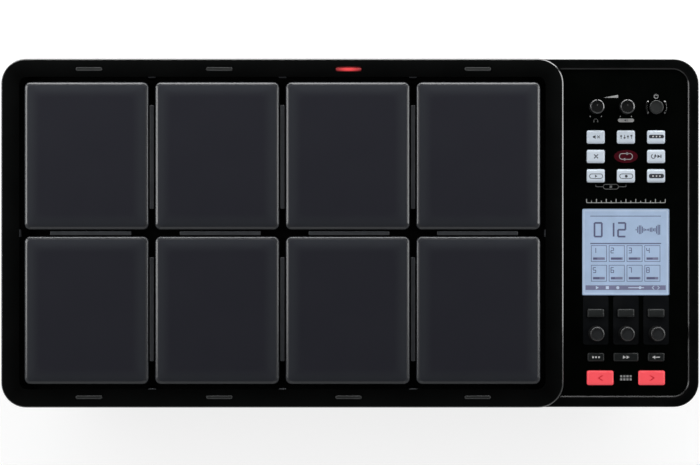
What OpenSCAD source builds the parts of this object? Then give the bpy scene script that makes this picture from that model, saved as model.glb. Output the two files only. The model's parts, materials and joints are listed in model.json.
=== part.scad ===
// Electronic percussion pad: eight rubber pads in a raised frame, with a control panel beside them.
// Most pieces are drawn on the deck, a plane that rises towards the rear. The deck's origin is
// on the pad frame's top face, at the middle of the body, and heights above it are positive.
// The part's own origin is on the table under the middle of the body, with the rear at +Y.

/* [Pads] */
// Width of one rubber pad
pad_w = 94.3; // [88:0.1:104]
// Depth of one rubber pad, front to rear
pad_d = 112.4; // [111:0.1:124]
// Gap between neighbouring pads
pad_gap = 5; // [4.5:0.1:8]
// Thickness of the rubber
pad_t = 6.5; // [5.5:0.1:8]
// Corner radius of a pad in plan
pad_corner_r = 3.2; // [2:0.1:8]
// Rounding of a pad's upper edge
pad_edge_r = 1.2; // [0.6:0.1:2]
// Rise of a pad's middle over its edge
pad_crown = 0.4; // [0.2:0.1:0.8]
// How far a pad gives under a stroke
pad_travel = 0.8; // [0.4:0.1:1]
// Thickness of the foam sheet under a pad
foam_t = 1.6; // [1.2:0.1:2.5]
// Thickness of the force sensor film
sensor_t = 0.4; // [0.3:0.1:0.8]
// Thickness of the steel chassis plate
chassis_t = 1.6; // [1.2:0.1:2.5]
// Width of a divider bar between pads
divider_w = 3.1; // [2:0.1:3.5]
// Length of a divider bar between two columns
divider_col_len = 79.8; // [60:0.1:100]
// Length of a divider bar between the two rows
divider_row_len = 62.4; // [50:0.1:80]
// How far a divider's top lies under the frame's top face
divider_drop = 0.4; // [0:0.1:2]

/* [Pad frame] */
// Width of the frame from the body's edge to the pads
pad_border = 17.7; // [16.5:0.1:22]
// Open margin between the pads and the frame's opening
recess_margin = 4; // [3:0.1:4.5]
// Corner radius of the frame's opening
recess_r = 6; // [4:0.1:10]
// Bevel along the upper edge of the frame's opening
recess_bevel = 0.8; // [0.4:0.1:1.2]
// Height of the frame over the case's deck
frame_h = 4; // [3.5:0.1:6]
// Rounding of the frame's upper edge
frame_edge_r = 1.7; // [1:0.1:2]
// Corner radius of the frame and of the case
corner_r = 19; // [18:0.5:24]
// Length of a pad's indicator lens
led_w = 20.9; // [14:0.1:24]
// Width of a pad's indicator lens
led_d = 3.3; // [2.5:0.1:4]
// Distance from the body's edge to the middle of a lens
led_inset = 7.4; // [7:0.1:8]

/* [Case] */
// Width of the control side, from the pad frame to the body's edge
control_w = 103.4; // [100:0.1:116]
// Thickness of the case walls
wall = 3; // [2.5:0.1:3.5]
// Thickness of the deck that carries the pad frame
deck_t = 3; // [2.5:0.1:4]
// Height of the upper case below its deck's top face
skirt_h = 18; // [16:0.5:24]
// Rounding of the upper case's rim
rim_edge_r = 1; // [0.6:0.1:1.5]
// Rise of the deck towards the rear, in degrees
deck_tilt = 6.5; // [5:0.5:8]
// Height of the pad frame's top face over the table, at the middle
deck_height = 76; // [74:0.5:90]
// Step between the upper and lower case at their joint
reveal = 1; // [0.5:0.1:1.5]
// Inset of the base from the body's sides
base_inset_side = 24; // [16:1:32]
// Inset of the base from the body's front
base_inset_front = 30; // [20:1:36]
// Inset of the base from the body's rear
base_inset_rear = 6; // [5:0.5:9]
// Corner radius of the base
base_r = 30; // [24:1:40]
// Height of the rubber feet
foot_h = 6; // [4:0.5:10]
// Diameter of a foot
foot_d = 20; // [14:1:26]
// Distance from the base's edges to a foot's middle
foot_inset = 24; // [20:1:30]

/* [Control panel] */
// Width of the case's rim around the panel
panel_rim = 7.5; // [6.5:0.1:9]
// Depth of the panel's face under the rim
panel_recess = 1; // [0.6:0.1:1.4]
// Thickness of the panel sheet
panel_t = 1.5; // [1:0.1:2]
// Corner radius of the panel
panel_r = 12; // [8:0.5:14]
// Thickness of the case under the panel sheet
control_deck_t = 2; // [1.6:0.1:3]
// Spacing of the control columns
key_pitch_x = 23; // [22:0.1:24]
// Spacing of the white key rows
key_pitch_y = 14.8; // [14:0.1:15.5]
// Distance from the deck's middle to the upper row of white keys
key_row_y = 73.3; // [72:0.1:75]
// Width of a white key
key_w = 14.3; // [12:0.1:16]
// Depth of a white key
key_d = 10.7; // [9:0.1:11]
// Width of a small dark key
soft_w = 12.7; // [10:0.1:14]
// Depth of a small dark key
soft_d = 6.5; // [5.5:0.1:7]
// Width of the middle key of the menu row
quick_w = 19; // [16:0.1:19.5]
// Width of a red kit key
kit_w = 20.9; // [17:0.1:22]
// Depth of a red kit key
kit_d = 11.7; // [10:0.1:12]
// Distance from the panel's middle to a red kit key
kit_x = 19.6; // [18:0.1:20.5]
// Height of the white and red keys over the panel
key_proud = 1.6; // [1.3:0.1:2.5]
// Height of the small dark keys over the panel
soft_proud = 1.4; // [1.3:0.1:2]
// Corner radius of a key
key_r = 1; // [0.6:0.1:1.5]
// Travel of a key
key_travel = 1.2; // [0.8:0.1:1.2]
// Clearance around a key in its hole
key_clear = 0.3; // [0.25:0.05:0.4]
// Distance from the deck's middle to the display's middle
display_y = -14.4; // [-15:0.1:-13]
// Width of the display window
display_w = 66.2; // [60:0.1:68]
// Depth of the display window
display_d = 65.6; // [60:0.1:67]
// Distance from the deck's middle to the row of function keys
soft_row_y = -61; // [-61.5:0.1:-60.5]
// Distance from the deck's middle to the row of encoder knobs
encoder_row_y = -76.4; // [-77:0.1:-76]
// Distance from the deck's middle to the menu row
menu_row_y = -94.5; // [-95:0.1:-94]
// Distance from the deck's middle to the red kit keys
kit_row_y = -110.3; // [-110.5:0.1:-109.8]
// Distance from the deck's middle to the volume knobs
volume_row_y = 96; // [95:0.1:98]
// Diameter of a volume knob
volume_d = 11; // [10:0.1:12]
// Diameter of an encoder knob at its foot
encoder_d = 12; // [10.5:0.1:13]
// Height of the knobs over the panel
knob_h = 9.4; // [8:0.1:12]
// Diameter of the knob shafts
shaft_d = 6; // [5:0.1:6]
// Diameter of the power button
power_d = 10.6; // [9:0.1:11]
// Height of the power button over the panel
power_proud = 2.6; // [2.3:0.1:3.5]
// Travel of the power button
power_travel = 2; // [1.5:0.1:2]
// Height of the guard beside the power button
guard_h = 2; // [1:0.1:3]

/* [Rear sockets] */
// Number of phone jacks
jack_count = 6; // [4:1:6]
// Spacing of the phone jacks
jack_pitch = 24; // [22:0.5:25]
// Bore of a phone jack
jack_bore_d = 6.6; // [6.5:0.05:6.8]
// Height of the socket row over the table
socket_z = 34; // [33:0.5:36]
// Height of the socket bay
bay_h = 30; // [28:0.5:32]
// Depth of the socket bay from the base's rear edge
bay_depth = 10; // [8:0.5:12]

/* [Stand mount] */
// Spacing of the stand holes across
stand_x = 100; // [70:1:110]
// Spacing of the stand holes front to rear
stand_y = 80; // [60:1:90]
// Bore of a threaded stand insert
stand_bore_d = 5; // [4:0.1:6]

/* [Hidden] */
$fn = 64;
corner_steps = 9;
small_steps = 3;
slab = 0.02;
bevel_over = 0.5;
far = 200;
pad_cols = 4;
pad_rows = 2;

// Plan of the body on the deck
pads_w = pad_cols * pad_w + (pad_cols - 1) * pad_gap;
pads_d = pad_rows * pad_d + (pad_rows - 1) * pad_gap;
frame_w = pads_w + 2 * pad_border;
body_w = frame_w + control_w;
body_d = pads_d + 2 * pad_border;
frame_x = -control_w / 2;
frame_right = frame_x + frame_w / 2;
recess_w = pads_w + 2 * recess_margin;
recess_d = pads_d + 2 * recess_margin;
panel_under = 6;
panel_clear = 0.15;
panel_left = frame_right - panel_under;
panel_right = body_w / 2 - panel_rim;
panel_d = body_d - 2 * panel_rim;
control_x = (frame_right + panel_right) / 2;
led_y = body_d / 2 - led_inset;

// Levels on the deck
z_deck = -frame_h;
z_deck_under = z_deck - deck_t;
z_sensor = z_deck_under + sensor_t;
z_foam = z_sensor + foam_t;
z_pad = z_foam + pad_t;
z_divider = -divider_drop;
z_panel = z_deck - panel_recess;
z_pocket = z_panel - panel_t;
z_control_under = z_pocket - control_deck_t;
z_parting = z_deck - skirt_h;

// Keys: a cap, a flange held under the case, and a round foot over its contact
key_edge_r = 0.5;
flange_rim = 0.8;
flange_t = 1;
flange_gap = 0.2;
press_clear = 0.3;
foot_len = 2.3;
key_foot_d = 4;
z_flange = z_control_under - flange_gap;
z_key_foot = z_flange - flange_t - foot_len;
z_board = z_key_foot - key_travel - press_clear;
board_t = 1.6;
board_r = 2;
mat_t = 0.8;
mat_clear = 0.6;
mat_rim = 4;

// Rotary controls
knob_gap = 0.6;
knob_cover = 3;
knob_edge_r = 0.8;
encoder_taper = 0.5;
pointer_w = 1.2;
pointer_depth = 0.5;
shaft_clear = 0.05;
bushing_wall = 0.7;
bushing_d = shaft_d + 2 * (shaft_clear + bushing_wall);
bushing_clear = 0.4;
bushing_drop = 0.6;
rotary_body_w = 11;
rotary_body_h = 4.4;
shaft_end_gap = 1;
z_knob_foot = z_panel + knob_gap;
z_knob_top = z_panel + knob_h;
z_shaft_top = z_knob_top - knob_cover;
z_shaft_foot = z_board + shaft_end_gap;
guard_gap = 1.6;
guard_w = 1.4;
guard_half_angle = 30;
power_switch_h = 1.2;
power_foot_len = 0.3;
power_switch_w = 8;

// Display
display_r = 0.8;
display_clear = 0.15;
display_flange = 3.8;
z_display_flange = z_control_under - flange_gap;

// Indicator lenses
led_r = 0.8;
led_clear = 0.1;
led_flange = 1;
led_flange_t = 1;

// Chassis plate and its screws
chassis_edge = 1.5;
chassis_right = panel_left - 3;
chassis_w = chassis_right + body_w / 2 - wall - chassis_edge;
chassis_x = chassis_right - chassis_w / 2;
chassis_d = body_d - 2 * (wall + chassis_edge);
chassis_clear = 0.7;
chassis_screw_inset = 9.5;
chassis_screw_side = 28;
foam_inset = 3;
sensor_inset = 7;

// Screws
screw_d = 2.7;
screw_clear = 0.4;
screw_bite = 0.1;
screw_head_d = 5.6;
screw_head_h = 2;
post_d = 9;
post_inset = 11;
post_floor = 3;
post_bite = 8;
well_d = 6.8;
boss_d = 6.4;
board_screw_len = 5;
chassis_screw_top = 1.5;
screw_end_gap = 0.5;

// Base and rear sockets, in the part's own frame
deck_y = -(frame_edge_r - z_parting) * sin(deck_tilt) / 2;
half_depth = body_d / 2 * cos(deck_tilt) + (-z_parting - frame_edge_r) * sin(deck_tilt) / 2;
base_w = body_w - 2 * base_inset_side;
base_front = -half_depth + base_inset_front;
base_rear = half_depth - base_inset_rear;
base_d = base_rear - base_front;
base_y = (base_front + base_rear) / 2;
lip_t = 1.5;
lip_h = 2;
lip_clear = 0.25;
floor_z = foot_h + wall;
bay_y = base_rear - bay_depth;
socket_gap = 25;
jack_x0 = 8;
midi_x0 = jack_x0 + 28;
usb_x = midi_x0 + 2 * socket_gap + 1;
dc_x = usb_x + 20;
bay_x0 = jack_x0 - (jack_count - 1) * jack_pitch - 16;
bay_x1 = dc_x + 16;
socket_clear = 0.2;
jack_body_w = 14;
jack_body_h = 12;
jack_body_len = 24;
jack_neck_d = 9;
jack_nut_d = 13;
jack_nut_t = 2.5;
midi_body_w = 19;
midi_body_len = 13;
midi_neck_d = 16;
midi_bore_d = 14;
midi_bore_len = 7;
midi_flange_t = 1;
usb_w = 12;
usb_h = 11;
usb_len = 15;
usb_port_w = 9;
usb_port_h = 8.4;
usb_port_depth = 9;
usb_neck = 1;
dc_w = 11;
dc_len = 13;
dc_neck_d = 9;
dc_bore_d = 6;
dc_bore_len = 10;
dc_pin_d = 2;
jack_board_z = socket_z - jack_body_h / 2;
midi_z = jack_board_z + midi_body_w / 2;
jack_board_d = 36;
jack_board_margin = 2;
main_board_w = 150;
main_board_d = 116;
main_board_side = 115.5;
main_board_x = main_board_side - body_w / 2;
main_board_y = -14;
main_board_lift = 8;
board_screw_edge = 5;
insert_wall = 1.5;
insert_d = stand_bore_d + 2 * insert_wall;
insert_len = 10;
insert_boss_wall = 2.5;
foot_peg_d = 5;
foot_peg_len = 4.5;
foot_peg_clear = 0.1;
foot_taper = 1;

function pad_x(c) = frame_x - pads_w / 2 + pad_w / 2 + c * (pad_w + pad_gap);
function pad_y(r) = (pad_rows - 1) * (pad_d + pad_gap) / 2 - r * (pad_d + pad_gap);
function column_x(c) = control_x + c * key_pitch_x;

// Each key: name, place on the deck, size, height over the panel and colour
white = [0.78, 0.82, 0.86];
dark = [0.15, 0.16, 0.16];
red = [0.92, 0.33, 0.36];
white_places = [for (r = [0:2]) for (c = [-1:1]) if (r != 1 || c != 0)
    [column_x(c), key_row_y - r * key_pitch_y]];
white_keys = [for (i = [0:len(white_places) - 1])
    [str("white_key_", i + 1), white_places[i], [key_w, key_d], key_proud, white]];
function_keys = [for (c = [-1:1])
    [str("function_key_", c + 2), [column_x(c), soft_row_y], [soft_w, soft_d], soft_proud, dark]];
menu_keys = [
    ["menu_key", [column_x(-1), menu_row_y], [soft_w, soft_d], soft_proud, dark],
    ["quick_key", [column_x(0), menu_row_y], [quick_w, soft_d], soft_proud, dark],
    ["back_key", [column_x(1), menu_row_y], [soft_w, soft_d], soft_proud, dark]
];
kit_keys = [
    ["kit_down_key", [control_x - kit_x, kit_row_y], [kit_w, kit_d], key_proud, red],
    ["kit_up_key", [control_x + kit_x, kit_row_y], [kit_w, kit_d], key_proud, red]
];
keys = concat(white_keys, function_keys, menu_keys, kit_keys);

// Each rotary control: its name, its place on the deck, and its knob's diameter at the foot and at the top
volume_knobs = [
    ["phones", [column_x(-1), volume_row_y], volume_d, volume_d],
    ["master", [column_x(0), volume_row_y], volume_d, volume_d]
];
encoder_knobs = [for (c = [-1:1])
    [str("encoder_", c + 2), [column_x(c), encoder_row_y], encoder_d, encoder_d - 2 * encoder_taper]];
knobs = concat(volume_knobs, encoder_knobs);
power_place = [column_x(1), volume_row_y];

// Places of screws
case_screw_places = concat(
    [for (x = [-1, 1]) for (y = [-1, 1]) [x * (body_w / 2 - post_inset), y * (body_d / 2 - post_inset)]],
    [for (c = [0, 2]) for (y = [-1, 1]) [pad_x(c) + (pad_w + pad_gap) / 2, y * (body_d / 2 - post_inset)]]
);
chassis_screw_places = [for (c = [0:pad_cols - 1]) for (y = [-1, 1])
    [pad_x(c) + chassis_screw_side, y * (body_d / 2 - chassis_screw_inset)]];
panel_board_w = panel_right - frame_right - 4;
panel_board_d = body_d - 2 * (post_inset + post_d / 2) - 3;
panel_boss_y = panel_board_d / 2 - 7;
panel_boss_mid_y = 28;
panel_boss_places = [for (x = [-1, 1]) for (y = [panel_boss_y, panel_boss_mid_y, -panel_boss_y])
    [control_x + x * (panel_board_w / 2 - board_screw_edge), y]];
main_boss_places = [for (x = [-1, 1]) for (y = [-1, 1])
    [main_board_x + x * (main_board_w / 2 - board_screw_edge),
     main_board_y + y * (main_board_d / 2 - board_screw_edge)]];
jack_board_y = bay_y - wall - 1 - jack_board_d / 2;
jack_boss_places = [for (x = [bay_x0 + board_screw_edge, (bay_x0 + bay_x1) / 2, bay_x1 - board_screw_edge])
    [x, jack_board_y - jack_board_d / 2 + board_screw_edge]];
foot_places = [for (x = [-1, 1]) for (y = [-1, 1])
    [x * (base_w / 2 - foot_inset), base_y + y * (base_d / 2 - foot_inset)]];
stand_places = [for (x = [-1, 1]) for (y = [-1, 1]) [x * stand_x / 2, y * stand_y / 2]];

// Shared shapes

module on_deck() {
    translate([0, deck_y, deck_height]) rotate([deck_tilt, 0, 0]) children();
}

module at(places) {
    for (p = places) translate([p[0], p[1], 0]) children();
}

// Points of one rounded corner, from the angle start to a quarter turn further
function corner_points(x, y, r, start, steps = corner_steps) =
    [for (i = [0:steps]) let (a = start + i * 90 / steps) [x + r * cos(a), y + r * sin(a)]];

module rounded_rect(w, d, r, steps = corner_steps) {
    x = w / 2 - r;
    y = d / 2 - r;
    polygon(concat(corner_points(x, y, r, 0, steps), corner_points(-x, y, r, 90, steps),
                   corner_points(-x, -y, r, 180, steps), corner_points(x, -y, r, 270, steps)));
}

module plate(w, d, r, low, high, steps = corner_steps) {
    translate([0, 0, low]) linear_extrude(high - low) rounded_rect(w, d, r, steps);
}

// A block with its top face at z = 0 and a rounded upper edge
module rounded_block(w, d, h, r, edge, steps = corner_steps) {
    hull() {
        translate([0, 0, -h]) linear_extrude(slab) rounded_rect(w, d, r, steps);
        for (a = [0, 30, 60, 90]) {
            inset = edge * (1 - cos(a));
            translate([0, 0, edge * (sin(a) - 1) - slab]) linear_extrude(slab)
                rounded_rect(w - 2 * inset, d - 2 * inset, r - inset, steps);
        }
    }
}

// The panel's outline: its left side lies under the pad frame and has square corners
module panel_outline(grow) {
    r = panel_r + grow;
    x = panel_right + grow - r;
    y = panel_d / 2 + grow;
    polygon(concat([[panel_left - grow, -y]], corner_points(x, r - y, r, 270),
                   corner_points(x, y - r, r, 0), [[panel_left - grow, y]]));
}

module key_holes(low, high) {
    for (k = keys) translate([k[1][0], k[1][1], 0])
        plate(k[2][0] + 2 * key_clear, k[2][1] + 2 * key_clear, key_r + key_clear, low, high, small_steps);
    for (k = knobs) translate([k[1][0], k[1][1], low])
        cylinder(d = bushing_d + 2 * bushing_clear, h = high - low);
    translate([power_place[0], power_place[1], low]) cylinder(d = power_d + 2 * key_clear, h = high - low);
    translate([control_x, display_y, 0]) display_plate(display_clear, display_r + display_clear, low, high);
}

module display_plate(grow, r, low, high) {
    plate(display_w + 2 * grow, display_d + 2 * grow, r, low, high, small_steps);
}

module led_slots(low, high, grow, rim) {
    for (c = [0:pad_cols - 1]) for (y = [-1, 1]) translate([pad_x(c), y * led_y, 0])
        plate(led_w + 2 * (grow + rim), led_d + 2 * (grow + rim), led_r + grow, low, high, small_steps);
}

// A screw with its head's seat at z = 0 and its shank pointing up
module screw(length) {
    cylinder(d = screw_d, h = length);
    translate([0, 0, -screw_head_h]) cylinder(d = screw_head_d, h = screw_head_h);
}

// The case

module lower_outer() {
    hull() {
        on_deck() translate([0, 0, z_parting - slab]) linear_extrude(slab)
            rounded_rect(body_w - 2 * reveal, body_d - 2 * reveal, corner_r - reveal);
        translate([0, base_y, foot_h]) linear_extrude(slab) rounded_rect(base_w, base_d, base_r);
    }
}

module lower_inner() {
    inset = reveal + wall;
    hull() {
        on_deck() translate([0, 0, z_parting - slab]) linear_extrude(1)
            rounded_rect(body_w - 2 * inset, body_d - 2 * inset, corner_r - inset);
        translate([0, base_y, floor_z]) linear_extrude(slab)
            rounded_rect(base_w - 2 * wall, base_d - 2 * wall, base_r - wall);
    }
}

module case_lip() {
    inset = wall + lip_clear;
    difference() {
        plate(body_w - 2 * inset, body_d - 2 * inset, corner_r - inset, z_parting - lip_h, z_parting + lip_h);
        plate(body_w - 2 * (inset + lip_t), body_d - 2 * (inset + lip_t), corner_r - inset - lip_t,
              z_parting - 2 * lip_h, z_parting + 2 * lip_h);
        translate([0, 0, z_parting]) at(case_screw_places) cylinder(d = post_d + 2 * lip_clear, h = far);
    }
}

module bay_block(grow, depth) {
    translate([bay_x0 - grow, bay_y - depth, socket_z - bay_h / 2 - grow])
        cube([bay_x1 - bay_x0 + 2 * grow, far, bay_h + 2 * grow]);
}

module socket_holes() {
    for (i = [0:jack_count - 1]) socket_at(jack_x0 - i * jack_pitch) socket_hole(jack_neck_d);
    for (i = [0, 1]) socket_at(midi_x0 + i * socket_gap, midi_z) socket_hole(midi_neck_d);
    socket_at(dc_x) socket_hole(dc_neck_d);
    socket_at(usb_x) translate([0, 0, -wall / 2])
        cube([usb_w + 2 * socket_clear, usb_h + 2 * socket_clear, 2 * wall], center = true);
}

module socket_hole(d) {
    translate([0, 0, -2 * wall]) cylinder(d = d + 2 * socket_clear, h = 3 * wall);
}

// Turns +Z to point out of the rear, with z = 0 on the bay's inner face
module socket_at(x, z = socket_z) {
    translate([x, bay_y, z]) rotate([-90, 0, 0]) children();
}

// What stands inside the lower case: the socket bay's walls, screw posts and bosses
module inner_walls() {
    bay_block(wall, wall);
    on_deck() at(case_screw_places) translate([0, 0, z_parting - far]) cylinder(d = post_d, h = far + 2);
    at(main_boss_places) cylinder(d = boss_d, h = floor_z + main_board_lift);
    at(jack_boss_places) cylinder(d = boss_d, h = jack_board_z - board_t);
    at(stand_places) cylinder(d = insert_d + 2 * insert_boss_wall, h = floor_z + insert_len);
}

module bottom_case() {
    color([0.06, 0.06, 0.065]) difference() {
        union() {
            difference() {
                lower_outer();
                difference() {
                    lower_inner();
                    inner_walls();
                }
            }
            on_deck() case_lip();
        }
        bay_block(0, 0);
        socket_holes();
        on_deck() at(case_screw_places) {
            translate([0, 0, z_parting - far]) cylinder(d = well_d, h = far - post_floor);
            translate([0, 0, z_parting - far / 2]) cylinder(d = screw_d + screw_clear, h = far);
        }
        translate([0, 0, floor_z + main_board_lift - board_screw_len]) at(main_boss_places)
            cylinder(d = screw_d + screw_bite, h = far);
        translate([0, 0, jack_board_z - board_t - board_screw_len]) at(jack_boss_places)
            cylinder(d = screw_d + screw_bite, h = far);
        at(stand_places) cylinder(d = insert_d, h = foot_h + insert_len);
        at(foot_places)
            cylinder(d = foot_peg_d + 2 * foot_peg_clear, h = foot_h + foot_peg_len + press_clear);
    }
}

module case_hollow(low, high) {
    plate(body_w - 2 * wall, body_d - 2 * wall, corner_r - wall, low, high);
}

module top_case() {
    color([0.04, 0.04, 0.042]) on_deck() difference() {
        union() {
            difference() {
                translate([0, 0, z_deck]) rounded_block(body_w, body_d, skirt_h, corner_r, rim_edge_r);
                case_hollow(z_parting - 1, z_control_under);
                intersection() {
                    case_hollow(z_control_under - 1, z_deck_under);
                    translate([chassis_right + chassis_clear - body_w, -body_d, z_parting])
                        cube([body_w, 2 * body_d, skirt_h]);
                }
            }
            translate([0, 0, z_parting]) at(case_screw_places)
                cylinder(d = post_d, h = z_deck_under - z_parting + 1);
            translate([0, 0, z_board]) at(panel_boss_places)
                cylinder(d = boss_d, h = z_control_under - z_board + 1);
        }
        translate([frame_x, 0, 0]) plate(recess_w, recess_d, recess_r, z_parting, 1);
        translate([0, 0, z_pocket]) linear_extrude(far) panel_outline(panel_clear);
        hull() {
            translate([0, 0, z_panel - bevel_over]) linear_extrude(slab)
                panel_outline(panel_clear - bevel_over);
            translate([0, 0, z_deck + bevel_over]) linear_extrude(slab)
                panel_outline(panel_clear + panel_recess + bevel_over);
        }
        key_holes(z_parting, z_deck);
        led_slots(z_parting, 0, led_clear, 0);
        translate([0, 0, z_parting - 1]) at(case_screw_places)
            cylinder(d = screw_d + screw_bite, h = post_bite + 2);
        translate([0, 0, z_parting]) at(chassis_screw_places)
            cylinder(d = screw_d + screw_clear, h = far);
        translate([0, 0, z_board - 1]) at(panel_boss_places)
            cylinder(d = screw_d + screw_bite, h = board_screw_len);
    }
}

// A thin slice of the frame's opening, grown by an amount, at a height
module recess_slab(z, grow) {
    translate([0, 0, z]) linear_extrude(slab)
        rounded_rect(recess_w + 2 * grow, recess_d + 2 * grow, recess_r + grow);
}

module pad_frame() {
    color([0.03, 0.03, 0.032]) on_deck() translate([frame_x, 0, 0]) difference() {
        rounded_block(frame_w, body_d, frame_h, corner_r, frame_edge_r);
        plate(recess_w, recess_d, recess_r, -2 * frame_h, frame_h);
        hull() {
            recess_slab(-recess_bevel - bevel_over, -bevel_over);
            recess_slab(bevel_over, recess_bevel + bevel_over);
        }
        translate([-frame_x, 0, 0]) {
            led_slots(-2 * frame_h, frame_h, led_clear, 0);
            translate([0, 0, z_deck - 1]) at(chassis_screw_places)
                cylinder(d = screw_d + screw_bite, h = 1 + frame_h - chassis_screw_top);
        }
    }
}

module control_panel() {
    color([0.02, 0.02, 0.022]) on_deck() {
        difference() {
            translate([0, 0, z_pocket]) linear_extrude(panel_t) panel_outline(0);
            key_holes(z_pocket - 1, z_panel + 1);
        }
        translate([power_place[0], power_place[1], z_panel]) power_guard();
    }
}

// Two raised arcs beside the power button
module power_guard() {
    r = power_d / 2 + guard_gap;
    reach = 3 * r;
    intersection() {
        difference() {
            cylinder(r = r + guard_w, h = guard_h);
            translate([0, 0, -1]) cylinder(r = r, h = guard_h + 2);
        }
        for (side = [-1, 1]) linear_extrude(guard_h) polygon([[0, 0],
            for (a = [-1, 1]) reach * [side * cos(guard_half_angle), a * sin(guard_half_angle)]]);
    }
}

module display_window() {
    color([0.75, 0.82, 0.9, 0.3]) on_deck() translate([control_x, display_y, 0])
        display_plate(0, display_r, z_pocket, z_panel);
}

module display_module() {
    color([0.6, 0.67, 0.76]) on_deck() translate([control_x, display_y, 0]) {
        display_plate(-display_clear, display_r, z_display_flange, z_pocket);
        display_plate(display_flange, display_r, z_board, z_display_flange);
    }
}

module pad_led_lenses() {
    color([0.24, 0.24, 0.25]) on_deck() {
        led_slots(z_deck_under, 0, 0, 0);
        led_slots(z_deck_under - led_flange_t, z_deck_under, 0, led_flange);
    }
}

// The pads and what carries them

module pad(c, r) {
    color([0.17, 0.17, 0.19]) on_deck() translate([pad_x(c), pad_y(r), 0]) hull() {
        edge_z = z_pad - pad_crown;
        crown_run = 8;
        translate([0, 0, edge_z]) rounded_block(pad_w, pad_d, edge_z - z_foam, pad_corner_r, pad_edge_r);
        translate([0, 0, z_pad - slab]) linear_extrude(slab)
            rounded_rect(pad_w - 2 * crown_run, pad_d - 2 * crown_run, pad_corner_r);
    }
}

module pad_dividers() {
    color([0.19, 0.2, 0.22]) on_deck() {
        for (c = [0:pad_cols - 2]) for (r = [0:pad_rows - 1])
            translate([pad_x(c) + (pad_w + pad_gap) / 2, pad_y(r), 0])
                plate(divider_w, divider_col_len, divider_w / 3, z_deck_under, z_divider, small_steps);
        for (c = [0:pad_cols - 1]) translate([pad_x(c), 0, 0])
            plate(divider_row_len, divider_w, divider_w / 3, z_deck_under, z_divider, small_steps);
    }
}

module pad_foam() {
    color([0.1, 0.1, 0.1]) on_deck() for (c = [0:pad_cols - 1]) for (r = [0:pad_rows - 1])
        translate([pad_x(c), pad_y(r), 0])
            plate(pad_w - 2 * foam_inset, pad_d - 2 * foam_inset, pad_corner_r, z_sensor, z_foam);
}

module force_sensors() {
    color([0.55, 0.35, 0.12]) on_deck() for (c = [0:pad_cols - 1]) for (r = [0:pad_rows - 1])
        translate([pad_x(c), pad_y(r), 0])
            plate(pad_w - 2 * sensor_inset, pad_d - 2 * sensor_inset, pad_corner_r, z_deck_under, z_sensor);
}

module pad_chassis() {
    color([0.09, 0.09, 0.095]) on_deck() difference() {
        translate([chassis_x, 0, 0]) plate(chassis_w, chassis_d, corner_r - wall - chassis_edge,
                                           z_deck_under - chassis_t, z_deck_under);
        led_slots(z_parting, 0, chassis_clear, led_flange);
        translate([0, 0, z_parting]) at(case_screw_places) cylinder(d = post_d + 2 * chassis_clear, h = far);
        translate([0, 0, z_parting]) at(chassis_screw_places) cylinder(d = screw_d + screw_clear, h = far);
    }
}

// Boards and what stands on them

module main_board() {
    top = floor_z + main_board_lift + board_t;
    chips = [[-40, 20, 28, 28], [10, 20, 22, 22], [-40, -24, 20, 14], [8, -20, 16, 26], [46, 16, 12, 20]];
    chip_h = 1.4;
    can_d = 8;
    can_h = 11;
    can_xs = [40, 52];
    can_ys = [-38, -24];
    color([0.08, 0.26, 0.14]) {
        difference() {
            translate([main_board_x, main_board_y, 0])
                plate(main_board_w, main_board_d, board_r, top - board_t, top);
            translate([0, 0, floor_z]) at(main_boss_places) cylinder(d = screw_d + screw_clear, h = far);
        }
        translate([main_board_x, main_board_y, top]) {
            for (c = chips) translate([c[0], c[1], chip_h / 2]) cube([c[2], c[3], chip_h], center = true);
            for (x = can_xs) for (y = can_ys) translate([x, y, 0]) cylinder(d = can_d, h = can_h);
        }
    }
}

module panel_board() {
    color([0.08, 0.26, 0.14]) on_deck() {
        difference() {
            translate([control_x, 0, 0])
                plate(panel_board_w, panel_board_d, board_r, z_board - board_t, z_board);
            translate([0, 0, z_parting]) at(panel_boss_places) cylinder(d = screw_d + screw_clear, h = far);
        }
        translate([power_place[0], power_place[1], z_board + power_switch_h / 2])
            cube([power_switch_w, power_switch_w, power_switch_h], center = true);
    }
}

// Two silicone sheets on the panel board, open around each key's foot
module keypad_mat() {
    color([0.55, 0.56, 0.58]) on_deck() difference() {
        union() {
            mat_sheet(key_row_y - 2 * key_pitch_y - key_d / 2, key_row_y + key_d / 2);
            mat_sheet(kit_row_y - kit_d / 2 + mat_rim, soft_row_y);
        }
        translate([0, 0, z_parting]) at([for (k = keys) k[1]])
            cylinder(d = key_foot_d + 2 * mat_clear, h = far);
        for (k = encoder_knobs) translate([k[1][0], k[1][1], z_board])
            cube([rotary_body_w + 2 * mat_clear, rotary_body_w + 2 * mat_clear, far], center = true);
        translate([0, 0, z_parting]) at(panel_boss_places) cylinder(d = boss_d + 2 * mat_clear, h = far);
    }
}

module mat_sheet(front, rear) {
    w = 2 * key_pitch_x + key_w + mat_rim;
    translate([control_x, (front + rear) / 2, 0])
        plate(w, rear - front + mat_rim, board_r, z_board, z_board + mat_t);
}

module rotary_body() {
    difference() {
        union() {
            translate([-rotary_body_w / 2, -rotary_body_w / 2, z_board])
                cube([rotary_body_w, rotary_body_w, rotary_body_h]);
            translate([0, 0, z_board]) cylinder(d = bushing_d, h = z_panel - bushing_drop - z_board);
        }
        translate([0, 0, z_shaft_foot - 0.2]) cylinder(d = shaft_d + 2 * shaft_clear, h = far);
    }
}

module volume_pots() {
    color([0.6, 0.6, 0.62]) on_deck() for (k = volume_knobs) translate([k[1][0], k[1][1], 0]) rotary_body();
}

module rotary_encoders() {
    color([0.6, 0.6, 0.62]) on_deck() for (k = encoder_knobs) translate([k[1][0], k[1][1], 0]) rotary_body();
}

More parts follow.
